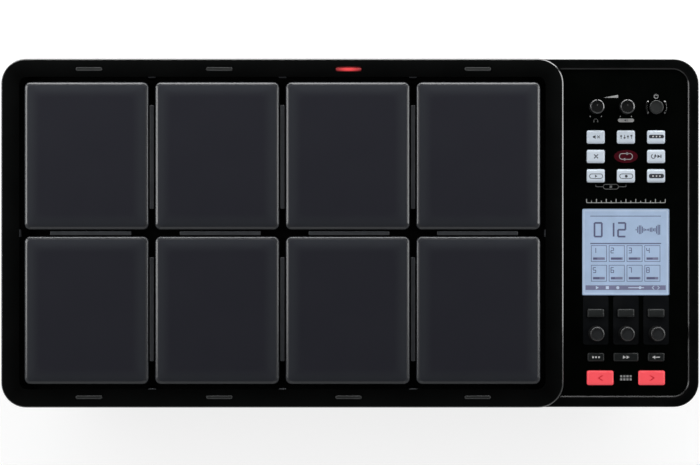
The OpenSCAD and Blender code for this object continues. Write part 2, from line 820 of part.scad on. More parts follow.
module jack_board() {
    color([0.08, 0.26, 0.14]) difference() {
        translate([(bay_x0 + bay_x1) / 2, jack_board_y, 0])
            plate(bay_x1 - bay_x0 - 2 * jack_board_margin, jack_board_d, board_r,
                  jack_board_z - board_t, jack_board_z);
        at(jack_boss_places) cylinder(d = screw_d + screw_clear, h = far);
    }
}

// Rear sockets, drawn with +Z out of the bay and z = 0 on the bay's face

module phone_jack() {
    difference() {
        union() {
            translate([-jack_body_w / 2, -jack_body_h / 2, -wall - 0.5 - jack_body_len])
                cube([jack_body_w, jack_body_h, jack_body_len]);
            translate([0, 0, -wall - 1]) cylinder(d = jack_neck_d, h = wall + 1);
            cylinder(d = jack_nut_d, h = jack_nut_t, $fn = 6);
        }
        translate([0, 0, -wall - jack_body_len + 1]) cylinder(d = jack_bore_d, h = far);
    }
}

module phone_jacks() {
    color([0.12, 0.12, 0.13]) for (i = [0:jack_count - 1]) socket_at(jack_x0 - i * jack_pitch) phone_jack();
}

module midi_socket() {
    difference() {
        union() {
            translate([-midi_body_w / 2, -midi_body_w / 2, -wall - 0.5 - midi_body_len])
                cube([midi_body_w, midi_body_w, midi_body_len]);
            translate([0, 0, -wall - 1]) cylinder(d = midi_neck_d, h = wall + 1 + midi_flange_t);
        }
        translate([0, 0, midi_flange_t - midi_bore_len]) cylinder(d = midi_bore_d, h = far);
    }
}

module usb_socket() {
    difference() {
        translate([-usb_w / 2, -usb_h / 2, usb_neck - usb_len]) cube([usb_w, usb_h, usb_len]);
        translate([-usb_port_w / 2, -usb_port_h / 2, usb_neck - usb_port_depth])
            cube([usb_port_w, usb_port_h, far]);
    }
}

module data_sockets() {
    color([0.2, 0.2, 0.21]) {
        for (i = [0, 1]) socket_at(midi_x0 + i * socket_gap, midi_z) midi_socket();
        socket_at(usb_x) usb_socket();
    }
}

module dc_inlet() {
    color([0.1, 0.1, 0.1]) socket_at(dc_x) {
        difference() {
            union() {
                translate([-dc_w / 2, -dc_w / 2, -wall - 0.5 - dc_len]) cube([dc_w, dc_w + 0.5, dc_len]);
                translate([0, 0, -wall - 1]) cylinder(d = dc_neck_d, h = wall + 1.5);
            }
            translate([0, 0, 0.5 - dc_bore_len]) cylinder(d = dc_bore_d, h = far);
        }
        translate([0, 0, -dc_bore_len - 1]) cylinder(d = dc_pin_d, h = dc_bore_len);
    }
}

// Feet, inserts and screws

module feet() {
    color([0.08, 0.08, 0.08]) at(foot_places) {
        cylinder(d1 = foot_d - 2 * foot_taper, d2 = foot_d, h = foot_h);
        cylinder(d = foot_peg_d, h = foot_h + foot_peg_len);
    }
}

module stand_inserts() {
    color([0.75, 0.6, 0.3]) at(stand_places) translate([0, 0, foot_h]) difference() {
        cylinder(d = insert_d, h = insert_len);
        translate([0, 0, -1]) cylinder(d = stand_bore_d, h = insert_len + 2);
    }
}

module case_screws() {
    color([0.2, 0.2, 0.21]) on_deck() translate([0, 0, z_parting - post_floor]) at(case_screw_places)
        screw(post_floor + post_bite);
}

module inner_screws() {
    chassis_seat = z_deck_under - chassis_t;
    chassis_screw_len = -chassis_screw_top - screw_end_gap - chassis_seat;
    color([0.7, 0.7, 0.72]) {
        on_deck() {
            translate([0, 0, chassis_seat]) at(chassis_screw_places) screw(chassis_screw_len);
            translate([0, 0, z_board - board_t]) at(panel_boss_places) screw(board_screw_len);
        }
        translate([0, 0, floor_z + main_board_lift + board_t]) at(main_boss_places)
            mirror([0, 0, 1]) screw(board_screw_len);
        translate([0, 0, jack_board_z]) at(jack_boss_places)
            mirror([0, 0, 1]) screw(board_screw_len);
    }
}

// Controls that move

module key(k) {
    w = k[2][0];
    d = k[2][1];
    top = z_panel + k[3];
    color(k[4]) on_deck() translate([k[1][0], k[1][1], 0]) {
        translate([0, 0, top])
            rounded_block(w, d, top - z_flange + flange_t / 2, key_r, key_edge_r, small_steps);
        plate(w + 2 * flange_rim, d + 2 * flange_rim, key_r + flange_rim,
              z_flange - flange_t, z_flange, small_steps);
        translate([0, 0, z_key_foot]) cylinder(d = key_foot_d, h = z_flange - z_key_foot);
    }
}

module power_button() {
    top = z_panel + power_proud;
    r = power_d / 2;
    low = z_flange - flange_t;
    color([0.18, 0.19, 0.19]) on_deck() translate([power_place[0], power_place[1], 0]) rotate_extrude()
        polygon([[0, low - power_foot_len], [key_foot_d / 2, low - power_foot_len], [key_foot_d / 2, low],
                 [r + flange_rim, low], [r + flange_rim, z_flange], [r, z_flange],
                 for (a = [0:15:90]) [r - key_edge_r * (1 - cos(a)), top - key_edge_r * (1 - sin(a))],
                 [0, top]]);
}

module knob(k) {
    r = k[3] / 2;
    color([0.12, 0.12, 0.125]) on_deck() translate([k[1][0], k[1][1], 0]) difference() {
        rotate_extrude() polygon([[0, z_knob_foot], [k[2] / 2, z_knob_foot],
            for (a = [0:15:90]) [r - knob_edge_r * (1 - cos(a)), z_knob_top - knob_edge_r * (1 - sin(a))],
            [0, z_knob_top]]);
        translate([0, 0, z_knob_foot - 1]) cylinder(d = shaft_d, h = z_shaft_top - z_knob_foot + 1);
        translate([-pointer_w / 2, r / 3, z_knob_top - pointer_depth]) cube([pointer_w, r / 3, 1]);
    }
}

module shaft(k) {
    color([0.72, 0.72, 0.74]) on_deck() translate([k[1][0], k[1][1], z_shaft_foot])
        cylinder(d = shaft_d, h = z_shaft_top - z_shaft_foot);
}

bottom_case();
top_case();
pad_frame();
control_panel();
display_window();
display_module();
pad_led_lenses();
pad_chassis();
pad_dividers();
pad_foam();
force_sensors();
main_board();
panel_board();
keypad_mat();
volume_pots();
rotary_encoders();
jack_board();
phone_jacks();
data_sockets();
dc_inlet();
feet();
stand_inserts();
case_screws();
inner_screws();
power_button();
for (r = [0:pad_rows - 1]) for (c = [0:pad_cols - 1])
    pad(c, r);
for (k = keys) key(k);
for (k = knobs) knob(k);
for (k = knobs) shaft(k);
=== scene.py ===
# Looks of an electronic percussion pad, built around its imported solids.
# Sizes are in millimetres on the deck, the tilted plane of the pad frame's top face:
# x to the right, y to the rear and z out of the face.
import json
from math import atan2, cos, hypot, pi, radians, sin

import bmesh
import bpy
from mathutils import Matrix, Vector


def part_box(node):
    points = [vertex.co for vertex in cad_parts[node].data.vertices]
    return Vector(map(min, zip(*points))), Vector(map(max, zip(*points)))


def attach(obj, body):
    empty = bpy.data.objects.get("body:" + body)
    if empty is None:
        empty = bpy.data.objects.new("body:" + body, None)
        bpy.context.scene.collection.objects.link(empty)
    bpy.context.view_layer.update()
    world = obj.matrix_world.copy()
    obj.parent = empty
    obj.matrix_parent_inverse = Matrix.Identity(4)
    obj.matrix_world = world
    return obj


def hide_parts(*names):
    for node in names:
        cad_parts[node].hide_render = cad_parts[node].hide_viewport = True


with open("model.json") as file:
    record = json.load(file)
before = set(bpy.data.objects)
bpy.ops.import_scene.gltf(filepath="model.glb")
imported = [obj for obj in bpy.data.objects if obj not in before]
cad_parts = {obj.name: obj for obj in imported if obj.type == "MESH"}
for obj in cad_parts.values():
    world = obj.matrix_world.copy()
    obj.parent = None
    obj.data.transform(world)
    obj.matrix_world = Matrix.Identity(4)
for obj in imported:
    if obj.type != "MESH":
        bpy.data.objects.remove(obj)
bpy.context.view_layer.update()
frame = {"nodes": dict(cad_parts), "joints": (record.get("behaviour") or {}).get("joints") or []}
scene = bpy.context.scene

MM = 0.001
nodes = frame["nodes"]


# The deck's place, from the axis of a knob that stands on it

VOLUME_ROW_Y = 96.0
turn = next(j for j in frame["joints"] if j["name"] == "master_turn")
tilt = atan2(-turn["axis"][1], turn["axis"][2])
deck_rise = Vector((0, cos(tilt), sin(tilt)))
deck_origin = Vector((0, *turn["pos_m"][1:])) - deck_rise * VOLUME_ROW_Y * MM
DECK = Matrix.Translation(deck_origin) @ Matrix.Rotation(tilt, 4, "X")


def deck_box(node):
    """Lowest and highest corner of a node, in millimetres on the deck."""
    to_deck = DECK.inverted()
    points = [(to_deck @ v.co) / MM for v in nodes[node].data.vertices]
    low = Vector([min(p[i] for p in points) for i in range(3)])
    high = Vector([max(p[i] for p in points) for i in range(3)])
    return low, high


def middle(low, high):
    """The middle of a box on the deck, in x and y."""
    return (low.x + high.x) / 2, (low.y + high.y) / 2


def deck_spot(x, y, z=0.0):
    """A placed copy of the deck's axes, with its origin at a point of the deck."""
    return DECK @ Matrix.Translation(Vector((x, y, z)) * MM)


def node_place(node):
    """Lowest and highest corner of a node, and the deck's axes at its middle."""
    low, high = deck_box(node)
    return low, high, deck_spot(*middle(low, high))


# Shapes: each is a pair of vertices in millimetres and faces

BAR_STEPS = 4
# A moulded edge from wall to face: how far in and how far down, in shares of its size
EDGE_STEPS = ((0.0, 1.0), (0.04, 0.77), (0.14, 0.54), (0.32, 0.36), (0.61, 0.195), (0.9, 0.03), (1.0, 0.0))


def rounded_loop(w, d, r, z, cx=0.0, cy=0.0, steps=8):
    """Points around a rounded rectangle, anticlockwise from its right side."""
    points = []
    for quarter, (sx, sy) in enumerate(((1, 1), (-1, 1), (-1, -1), (1, -1))):
        for i in range(steps + 1):
            a = radians(90 * (quarter + i / steps))
            x = cx + sx * (w / 2 - r) + r * cos(a)
            y = cy + sy * (d / 2 - r) + r * sin(a)
            points.append((x, y, z))
    return points


def round_loop(r, z, count, cx=0.0, cy=0.0, groove=0.0, flutes=0):
    """Points around a circle, drawn in along its flutes by a groove."""
    points = []
    for i in range(count):
        a = 2 * pi * i / count
        reach = r - groove * (0.5 - 0.5 * cos(flutes * a))
        points.append((cx + reach * cos(a), cy + reach * sin(a), z))
    return points


def loft(loops, ring=False):
    """A skin over loops of equal length from the bottom up, capped or closed into a ring."""
    n = len(loops[0])
    verts = [p for loop in loops for p in loop]
    faces = []
    for a in range(len(loops) if ring else len(loops) - 1):
        b = (a + 1) % len(loops)
        for i in range(n):
            j = (i + 1) % n
            faces.append((a * n + i, a * n + j, b * n + j, b * n + i))
    if not ring:
        faces.append(tuple(reversed(range(n))))
        faces.append(tuple(range(len(verts) - n, len(verts))))
    return verts, faces


def joined(shapes):
    verts = []
    faces = []
    for shape_verts, shape_faces in shapes:
        start = len(verts)
        verts += shape_verts
        faces += [tuple(start + i for i in face) for face in shape_faces]
    return verts, faces


def prism(outline, low, high):
    """A flat outline, anticlockwise, drawn out between two heights."""
    return loft([[(x, y, z) for x, y in outline] for z in (low, high)])


def edge_sections(size, high):
    """Insets and heights of a moulded edge, from its wall up to its face."""
    return [(size * step_in, high - size * down) for step_in, down in EDGE_STEPS]


def block(w, d, sections, cx=0.0, cy=0.0, steps=8):
    """A rounded block from sections of inset, corner radius and height, from the bottom up."""
    return loft([rounded_loop(w - 2 * inset, d - 2 * inset, r, z, cx, cy, steps) for inset, r, z in sections])


def rounded_bar(w, d, r, edge, low, high, cx=0.0, cy=0.0):
    """A bar with a rounded upper edge."""
    sections = [(0, r, low)]
    for a in (0, 22.5, 45, 67.5, 90):
        inset = edge * (1 - cos(radians(a)))
        z = high - edge * (1 - sin(radians(a)))
        sections.append((inset, max(r - inset, 0.05), z))
    return block(w, d, sections, cx, cy, BAR_STEPS)


def turned(sections, count):
    """A solid turned from (radius, z) points, from the bottom up."""
    return loft([round_loop(r, z, count) for r, z in sections])


def turned_ring(section, cx=0.0, cy=0.0, cz=0.0, count=48):
    """A ring turned from a closed section of (radius, z) points."""
    return loft([round_loop(r, cz + z, count, cx, cy) for r, z in section], ring=True)


def swept(path, section):
    """A closed section of (out, z) points carried along a path that gives its points for a distance out."""
    lines = [path(out) for out, _ in section]
    return loft([[(*line[i], z) for line, (_, z) in zip(lines, section)] for i in range(len(lines[0]))])


# Flat outlines for printed marks, each a list of points

ARC_STEPS = 20


def rect(cx, cy, w, h):
    left, right = cx - w / 2, cx + w / 2
    low, high = cy - h / 2, cy + h / 2
    return [(left, low), (right, low), (right, high), (left, high)]


def disc(cx, cy, r, count=24):
    return [(x, y) for x, y, _ in round_loop(r, 0, count, cx, cy)]


def pill(cx, cy, w, h, r=None):
    """A rounded bar, whose ends are just short of half circles where no radius is given."""
    return [(x, y) for x, y, _ in rounded_loop(w, h, r or h / 2 * 0.98, 0, cx, cy, steps=6)]


def around(cx, cy, r, degrees):
    """Points on a circle, at angles in degrees."""
    angles = [radians(a) for a in degrees]
    return [(cx + r * cos(a), cy + r * sin(a)) for a in angles]


def arc(cx, cy, r, width, start, end):
    """A band along part of a circle, between two angles in degrees."""
    degrees = [start + (end - start) * i / ARC_STEPS for i in range(ARC_STEPS + 1)]
    return around(cx, cy, r + width / 2, degrees) + around(cx, cy, r - width / 2, degrees)[::-1]


def triangle(cx, cy, size, turn_deg):
    """A triangle that points along an angle in degrees."""
    return around(cx, cy, size, (turn_deg, turn_deg + 120, turn_deg + 240))


def stroke(x0, y0, x1, y1, width):
    length = hypot(x1 - x0, y1 - y0)
    nx, ny = -(y1 - y0) / length * width / 2, (x1 - x0) / length * width / 2
    return [(x0 - nx, y0 - ny), (x1 - nx, y1 - ny), (x1 + nx, y1 + ny), (x0 + nx, y0 + ny)]


def chevron(cx, cy, reach, half, width, side):
    """An arrow head that points to its side, -1 for left and 1 for right."""
    tip = cx + side * (reach + width) / 2
    tail = tip - side * reach
    points = [(tail, cy + half), (tip, cy), (tail, cy - half), (tail - side * width, cy - half),
              (tip - side * width, cy), (tail - side * width, cy + half)]
    return points if side < 0 else points[::-1]


def pill_line(cx, cy, w, h, width):
    """The outline of a pill: two straights and two half circles."""
    reach = (w - h) / 2
    return [rect(cx, cy + h / 2, w - h, width), rect(cx, cy - h / 2, w - h, width),
            arc(cx - reach, cy, h / 2, width, 90, 270), arc(cx + reach, cy, h / 2, width, -90, 90)]


def frame_line(cx, cy, w, h, width):
    return [rect(cx, cy + h / 2, w + width, width), rect(cx, cy - h / 2, w + width, width),
            rect(cx - w / 2, cy, width, h - width), rect(cx + w / 2, cy, width, h - width)]


SEGMENTS = {"0": "abcdef", "1": "bc", "2": "abged", "3": "abgcd", "4": "fgbc", "5": "afgcd",
            "6": "afgedc", "7": "abc", "8": "abcdefg", "9": "abcdfg"}
# Where the bars of a digit lie, in shares of its width and height
SEGMENT_SPOTS = {"a": (0, 0.5), "g": (0, 0), "d": (0, -0.5), "f": (-0.5, 0.25), "b": (0.5, 0.25),
                 "e": (-0.5, -0.25), "c": (0.5, -0.25)}


def digit(value, cx, cy, w, h, width):
    bars = []
    for x, y in [SEGMENT_SPOTS[s] for s in SEGMENTS[value]]:
        bar = (width, h / 2) if x else (w, width)
        bars.append(rect(cx + x * w, cy + y * h, *bar))
    return bars


# Materials, kept under their names

MATERIALS = {}
PAD_EDGE = 2.5
PAD_ROUGH = 0.6
PAD_RIM_ROUGH = 0.21
# Pad colours: the rim's painted highlight, the plain middle, and the painted sheen near the edges
PAD_RIM_PAINTED_HIGHLIGHT = (0.030, 0.032, 0.036)
PAD_DARK = (0.0198, 0.0203, 0.0278)
PAD_PAINTED_SHEEN = (0.0285, 0.0309, 0.0378)


def blank_material(name):
    material = bpy.data.materials.new(name)
    material.use_nodes = True
    MATERIALS[name] = material
    return material.node_tree, material.node_tree.nodes["Principled BSDF"]


def feed(node, inputs):
    """Link a node's inputs to sockets, or set them to numbers and colours."""
    for name, value in inputs.items():
        if isinstance(value, bpy.types.NodeSocket):
            node.id_data.links.new(value, node.inputs[name])
        else:
            node.inputs[name].default_value = (*value, 1) if isinstance(value, tuple) else value


def add_node(tree, kind, output, inputs, **settings):
    """One output of a new node."""
    node = tree.nodes.new(kind)
    for name, value in settings.items():
        setattr(node, name, value)
    feed(node, inputs)
    return node.outputs[output]


def axis(tree, name, kind="Object"):
    """One coordinate, the object's own or one of another kind."""
    spot = add_node(tree, "ShaderNodeTexCoord", kind, {})
    return add_node(tree, "ShaderNodeSeparateXYZ", name, {"Vector": spot})


def maths(tree, operation, *values, clamp=False):
    """What an operation makes of numbers and sockets."""
    return add_node(tree, "ShaderNodeMath", 0, dict(enumerate(values)), operation=operation, use_clamp=clamp)


def noise(tree, scale, detail=3.0):
    """Noise fixed to the object, with its scale in features per metre."""
    spot = add_node(tree, "ShaderNodeTexCoord", "Object", {})
    return add_node(tree, "ShaderNodeTexNoise", "Fac", {"Vector": spot, "Scale": scale, "Detail": detail})


def mapped(tree, value, low=0.0, high=1.0, start=0.35, stop=0.65):
    """A value spread between two numbers as it goes from start to stop, which suit noise if not given."""
    limits = {"From Min": start, "From Max": stop, "To Min": low, "To Max": high}
    return add_node(tree, "ShaderNodeMapRange", "Result", {"Value": value, **limits})


def colour_between(tree, value, first, second):
    """One colour where a value is 0 and another where it is 1."""
    inputs = {"Factor": value, "A": first, "B": second}
    return add_node(tree, "ShaderNodeMix", "Result", inputs, data_type="RGBA")


def shaded(tree, value, colour, share):
    """A colour, and a darker share of it where a value is low."""
    return colour_between(tree, value, tuple(c * share for c in colour), colour)


def bump(tree, scale, depth):
    """Normals of a surface that noise raises, with its depth in millimetres."""
    inputs = {"Height": noise(tree, scale, detail=2.0), "Strength": 1.0, "Distance": depth * MM}
    return add_node(tree, "ShaderNodeBump", "Normal", inputs)


def plastic(name, colour, roughness, spread=0.06, grain=2500.0, depth=0.0, coat=0.0, specular=0.5,
            metallic=0.0):
    """Moulded plastic, rubber, metal or ink: uneven gloss, faint mottling and a fine grain of a depth.

    A colour that is one number is a grey.
    """
    tree, bsdf = blank_material(name)
    rgb = colour if isinstance(colour, tuple) else (colour,) * 3
    shades = mapped(tree, noise(tree, scale=160.0, detail=5.0))
    darker, lighter = [tuple(c * share for c in rgb) for share in (0.88, 1.12)]
    feed(bsdf, {
        "Base Color": colour_between(tree, shades, darker, lighter),
        "Roughness": mapped(tree, noise(tree, scale=35.0), roughness - spread, roughness + spread),
        "Specular IOR Level": specular, "Metallic": metallic, "Coat Weight": coat, "Coat Roughness": 0.06})
    if depth:
        feed(bsdf, {"Normal": bump(tree, grain, depth)})


def lit_plastic(name, colour, glow, strength, roughness=0.42, specular=0.5):
    """Translucent plastic with light behind it."""
    tree, bsdf = blank_material(name)
    patches = mapped(tree, noise(tree, scale=120.0))
    warm = mapped(tree, noise(tree, scale=60.0))
    feed(bsdf, {
        "Base Color": shaded(tree, patches, colour, share=0.94),
        "Emission Color": shaded(tree, warm, glow, share=0.9),
        "Emission Strength": strength,
        "Roughness": mapped(tree, patches, roughness - 0.05, roughness + 0.05),
        "Specular IOR Level": specular})


def lit_lens(half_w):
    """A coloured lens with a lamp behind its middle, duller towards its ends."""
    tree, bsdf = blank_material("lens_lit")
    along = maths(tree, "ABSOLUTE", axis(tree, "X"))
    dim = mapped(tree, along, start=0.2 * half_w * MM, stop=0.92 * half_w * MM)
    patches = mapped(tree, noise(tree, scale=120.0))
    feed(bsdf, {
        "Base Color": shaded(tree, patches, colour=(0.26, 0.03, 0.034), share=0.9),
        "Emission Color": colour_between(tree, dim, first=(0.68, 0.055, 0.06), second=(0.06, 0.006, 0.007)),
        "Emission Strength": 1.0,
        "Roughness": mapped(tree, patches, low=0.3, high=0.4)})


def edge_distance(tree, half_w, half_d, cx, blend):
    """Distance in from the nearest edge of a rectangle, eased over a blend where two edges meet."""
    inward = []
    for name, half, mid in (("X", half_w, cx), ("Y", half_d, 0.0)):
        away = maths(tree, "ABSOLUTE", maths(tree, "SUBTRACT", axis(tree, name), mid * MM))
        inward.append(maths(tree, "SUBTRACT", half * MM, away))
    return maths(tree, "SMOOTH_MIN", *inward, blend * MM)


def frame_top(half_w, half_d, cx):
    """The frame's level top, with painted shade that darkens it a little towards its opening."""
    tree, bsdf = blank_material("frame_flat_painted_shade")
    beyond = edge_distance(tree, half_w, half_d, cx, blend=4.0)
    # Painted shade: darker over the last 11 mm before the opening
    painted_light_fade = mapped(tree, beyond, start=-11.0 * MM, stop=0.0)
    feed(bsdf, {
        "Base Color": colour_between(tree, painted_light_fade, first=(0.0024, 0.0028, 0.0027),
                                     second=(0.0002, 0.0003, 0.0003)),
        "Roughness": mapped(tree, noise(tree, scale=30.0), low=0.46, high=0.54),
        "Specular IOR Level": 0.06})


def pad_rubber(half_w, half_d):
    """Moulded rubber, a little smoother towards the edges of a pad, with a painted sheen that makes it a
    little paler near the edges and a painted highlight that lightens its rounded rim.
    """
    tree, bsdf = blank_material("pad_rubber")
    nearest = edge_distance(tree, half_w, half_d, cx=0.0, blend=6.0)
    # Painted sheen: paler within about 12 mm of the edges
    painted_light_fade = mapped(tree, nearest, low=1.0, high=0.0, start=5.5 * MM, stop=12.0 * MM)
    clouds = mapped(tree, noise(tree, scale=28.0, detail=4.0), low=-0.03, high=0.03)
    field = colour_between(tree, maths(tree, "ADD", painted_light_fade, clouds, clamp=True), PAD_DARK, PAD_PAINTED_SHEEN)
    # Painted highlight: the rounded rim takes a lighter colour
    rim = mapped(tree, nearest, low=1.0, high=0.0, start=0.8 * PAD_EDGE * MM, stop=1.1 * PAD_EDGE * MM)
    gloss = mapped(tree, noise(tree, scale=40.0), PAD_ROUGH - 0.03, PAD_ROUGH + 0.03)
    feed(bsdf, {
        "Base Color": colour_between(tree, rim, field, PAD_RIM_PAINTED_HIGHLIGHT),
        "Roughness": maths(tree, "MULTIPLY_ADD", rim, PAD_RIM_ROUGH - PAD_ROUGH, gloss),
        "Specular IOR Level": mapped(tree, rim, low=0.15, high=0.5, start=0.0, stop=1.0),
        "Normal": bump(tree, scale=1800.0, depth=0.006)})


def clear_window():
    """Clear plastic that mirrors little, so that the picture under it shows from low down too."""
    tree, bsdf = blank_material("window")
    feed(bsdf, {
        "Base Color": (1, 1, 1), "Transmission Weight": 1.0, "IOR": 1.02,
        "Roughness": mapped(tree, noise(tree, scale=30.0), low=0.02, high=0.06)})


# Looks: colour, roughness and its spread, and what departs from plain smooth plastic

plastic("frame_gloss", (0.0026, 0.0031, 0.0029), 0.16, 0.02, coat=0.6, specular=0.7)
plastic("panel_gloss", (0.0002, 0.0006, 0.0003), 0.46, 0.04, specular=0.04)
plastic("panel_step", 0.003, 0.24, 0.03, specular=0.42)
plastic("guard", 0.012, 0.24, 0.04, coat=1.0, specular=0.8)
plastic("knob_rim", (0.010, 0.0105, 0.011), 0.26, 0.04, coat=0.6, specular=0.8)
plastic("encoder_rim", (0.010, 0.0105, 0.011), 0.42, 0.04, specular=0.6)
# The flange's near-black is partly its own colour and partly painted shade on the key walls in the gap under
# the panel
plastic("flange", 0.004, 0.6, depth=0.004)
plastic("case_plastic", (0.0016, 0.002, 0.002), 0.24, 0.04, depth=0.001)
plastic("base_plastic", (0.012, 0.012, 0.013), 0.5, grain=1600.0, depth=0.02)
plastic("divider", (0.027, 0.029, 0.033), 0.45, depth=0.004)
# The row bars' lighter copy of the divider plastic is painted light that makes up for the shade the pads cast
# on them
plastic("divider_row_painted_light", (0.044, 0.047, 0.052), 0.45, depth=0.004)
plastic("lens", (0.052, 0.054, 0.054), 0.42)
plastic("lens_dish", (0.016, 0.017, 0.017), 0.42)
plastic("chassis", 0.001, 0.6, depth=0.004, specular=0.1)
plastic("dark_key", (0.0180, 0.0202, 0.0202), 0.4, depth=0.003, specular=0.35)
plastic("menu_key", (0.0115, 0.0135, 0.0135), 0.4, depth=0.003, specular=0.35)
plastic("knob", (0.0032, 0.0034, 0.0035), 0.42, depth=0.002)
plastic("knob_dish", (0.0052, 0.0056, 0.0056), 0.4, depth=0.002)
plastic("encoder_face", (0.0238, 0.0252, 0.0267), 0.38, depth=0.003)
plastic("power_cap", (0.022, 0.024, 0.0235), 0.4, depth=0.003)
plastic("ink_white", 0.72, 0.5)
plastic("ink_pale", 0.40, 0.5)
plastic("ink_grey", 0.16, 0.5)
plastic("ink_dark", (0.04, 0.044, 0.055), 0.5)
plastic("ink_oval", (0.062, 0.003, 0.0085), 0.35, specular=0.2)
plastic("ink_red", (0.78, 0.022, 0.04), 0.5)
plastic("bay_print", (0.0045, 0.0052, 0.0062), 0.36, depth=0.002, specular=0.3)
plastic("steel", (0.55, 0.55, 0.57), 0.3, depth=0.002, metallic=1.0)
plastic("nickel", (0.6, 0.59, 0.57), 0.22, metallic=1.0)
plastic("brass", (0.75, 0.55, 0.24), 0.3, depth=0.002, metallic=1.0)
plastic("tongue", (0.35, 0.35, 0.34), 0.45)
plastic("socket", 0.012, 0.45, depth=0.004)
plastic("rubber", 0.015, 0.7, depth=0.02)
plastic("screw", (0.02, 0.02, 0.021), 0.4, metallic=0.6)
plastic("board", (0.012, 0.09, 0.035), 0.4)
plastic("silicone", (0.35, 0.36, 0.38), 0.6, depth=0.004)
plastic("foam", 0.02, 0.9, grain=900.0, depth=0.1)
plastic("film", (0.35, 0.18, 0.05), 0.35)
lit_plastic("white_key", (0.43, 0.48, 0.535), (0.52, 0.58, 0.655), 0.46)
lit_plastic("red_key", (0.62, 0.05, 0.06), (0.85, 0.09, 0.11), 0.65)
LCD_FACE = {"roughness": 0.5, "specular": 0.05}
lit_plastic("lcd_back", (0.11, 0.14, 0.18), (0.33, 0.43, 0.59), 0.96, **LCD_FACE)
lit_plastic("lcd_edge", (0.16, 0.19, 0.24), (0.56, 0.66, 0.82), 0.74, **LCD_FACE)
lit_plastic("lcd_mark", (0.03, 0.03, 0.05), (0.11, 0.12, 0.22), 0.8, **LCD_FACE)
lit_plastic("lcd_tint", (0.06, 0.06, 0.09), (0.17, 0.18, 0.29), 0.85, **LCD_FACE)
clear_window()


# Making a piece of the object

PRINT_T = 0.04
CUT_OVER = 1.0


def new_object(name, data):
    obj = bpy.data.objects.new(name, data)
    scene.collection.objects.link(obj)
    return obj


def make_object(name, shape, place, smooth_deg):
    mesh = bpy.data.meshes.new(name)
    mesh.from_pydata([Vector(v) * MM for v in shape[0]], [], shape[1])
    work = bmesh.new()
    work.from_mesh(mesh)
    bmesh.ops.recalc_face_normals(work, faces=work.faces)
    work.to_mesh(mesh)
    work.free()
    mesh.shade_smooth()
    mesh.set_sharp_from_angle(angle=radians(smooth_deg))
    obj = new_object(name, mesh)
    obj.matrix_world = place
    return obj


def second_look(obj, material, chosen):
    """Give some of an object's faces a material of their own."""
    obj.data.materials.append(MATERIALS[material])
    for face in obj.data.polygons:
        face.material_index = int(chosen(face))


def cut_out(obj, shape, place, smooth_deg):
    cutter = make_object(obj.name + "_cutter", shape, place, smooth_deg)
    cutting = obj.modifiers.new("cut", "BOOLEAN")
    cutting.operation = "DIFFERENCE"
    cutting.solver = "EXACT"
    cutting.object = cutter
    bpy.context.view_layer.update()
    result = bpy.data.meshes.new_from_object(obj.evaluated_get(bpy.context.evaluated_depsgraph_get()))
    obj.modifiers.remove(cutting)
    obj.data = result
    bpy.data.objects.remove(cutter)
    obj.data.shade_smooth()
    obj.data.set_sharp_from_angle(angle=radians(smooth_deg))


def piece(name, shape, material, slot, body="case", place=DECK, smooth_deg=35.0, replaces=(), cut=None,
          under=None, level=None):
    """A piece of the object that rides on a body.

    cut is a shape taken out of it, under a second material and the height below which it goes,
    and level a second material for the faces that look straight up.
    """
    obj = make_object(name, shape, place, smooth_deg)
    obj.data.materials.append(MATERIALS[material])
    if under:
        second_look(obj, under[0], lambda face: face.center.z < under[1] * MM)
    if level:
        second_look(obj, level, lambda face: face.normal.z > 0.999)
    if cut:
        cut_out(obj, cut, place, smooth_deg)
    obj.modifiers.new("even_normals", "WEIGHTED_NORMAL").keep_sharp = True
    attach(obj, body)
    if replaces:
        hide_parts(*replaces)


def printed(name, outlines, z, ink, slot, body="case", place=DECK, thick=PRINT_T):
    """Thin flat marks on a face at a height."""
    piece(name, joined([prism(o, z, z + thick) for o in outlines]), ink, slot, body, place)


# Pads

pad_names = [f"pad_{i}" for i in range(1, 9)]
pad_boxes = [deck_box(n) for n in pad_names]
pad_mids = [middle(*box) for box in pad_boxes]
pad_size = pad_boxes[0][1] - pad_boxes[0][0]
PAD_R = 4.6
PAD_FOOT = 0.5
PAD_CROWN = 0.7
PAD_CROWN_RUN = 11.0
pad_rubber(pad_size.x / 2, pad_size.y / 2)


def pad_shape(low, high, steps=8, power=2.2, shrink=0.5, grow=0.3):
    """A pad with a bevelled foot, a rounded edge and a slight crown, whose rise follows a power.

    The corners' radius shrinks over the edge and grows again over the crown.
    """
    edge_z = high - PAD_CROWN
    rises = [(PAD_FOOT, low), (0.0, low + PAD_FOOT)] + edge_sections(PAD_EDGE, edge_z)
    for i in range(1, steps + 1):
        u = i / steps
        rise = PAD_CROWN * (1 - (1 - u) ** power)
        rises.append((PAD_EDGE + u * (PAD_CROWN_RUN - PAD_EDGE), edge_z + rise))
    sections = []
    for inset, z in rises:
        r = PAD_R - shrink * min(inset, PAD_EDGE) + grow * max(inset - PAD_EDGE, 0.0)
        sections.append((inset, r, z))
    return block(pad_size.x, pad_size.y, sections)


for name in pad_names:
    low, high, spot = node_place(name)
    piece(name + "_rubber", pad_shape(low.z, high.z), "pad_rubber", "pad_rubber", name, spot, 60, [name])


# Pad frame, with slots for the indicator lenses

RECESS_MARGIN = 4.0
RECESS_R = 6.0
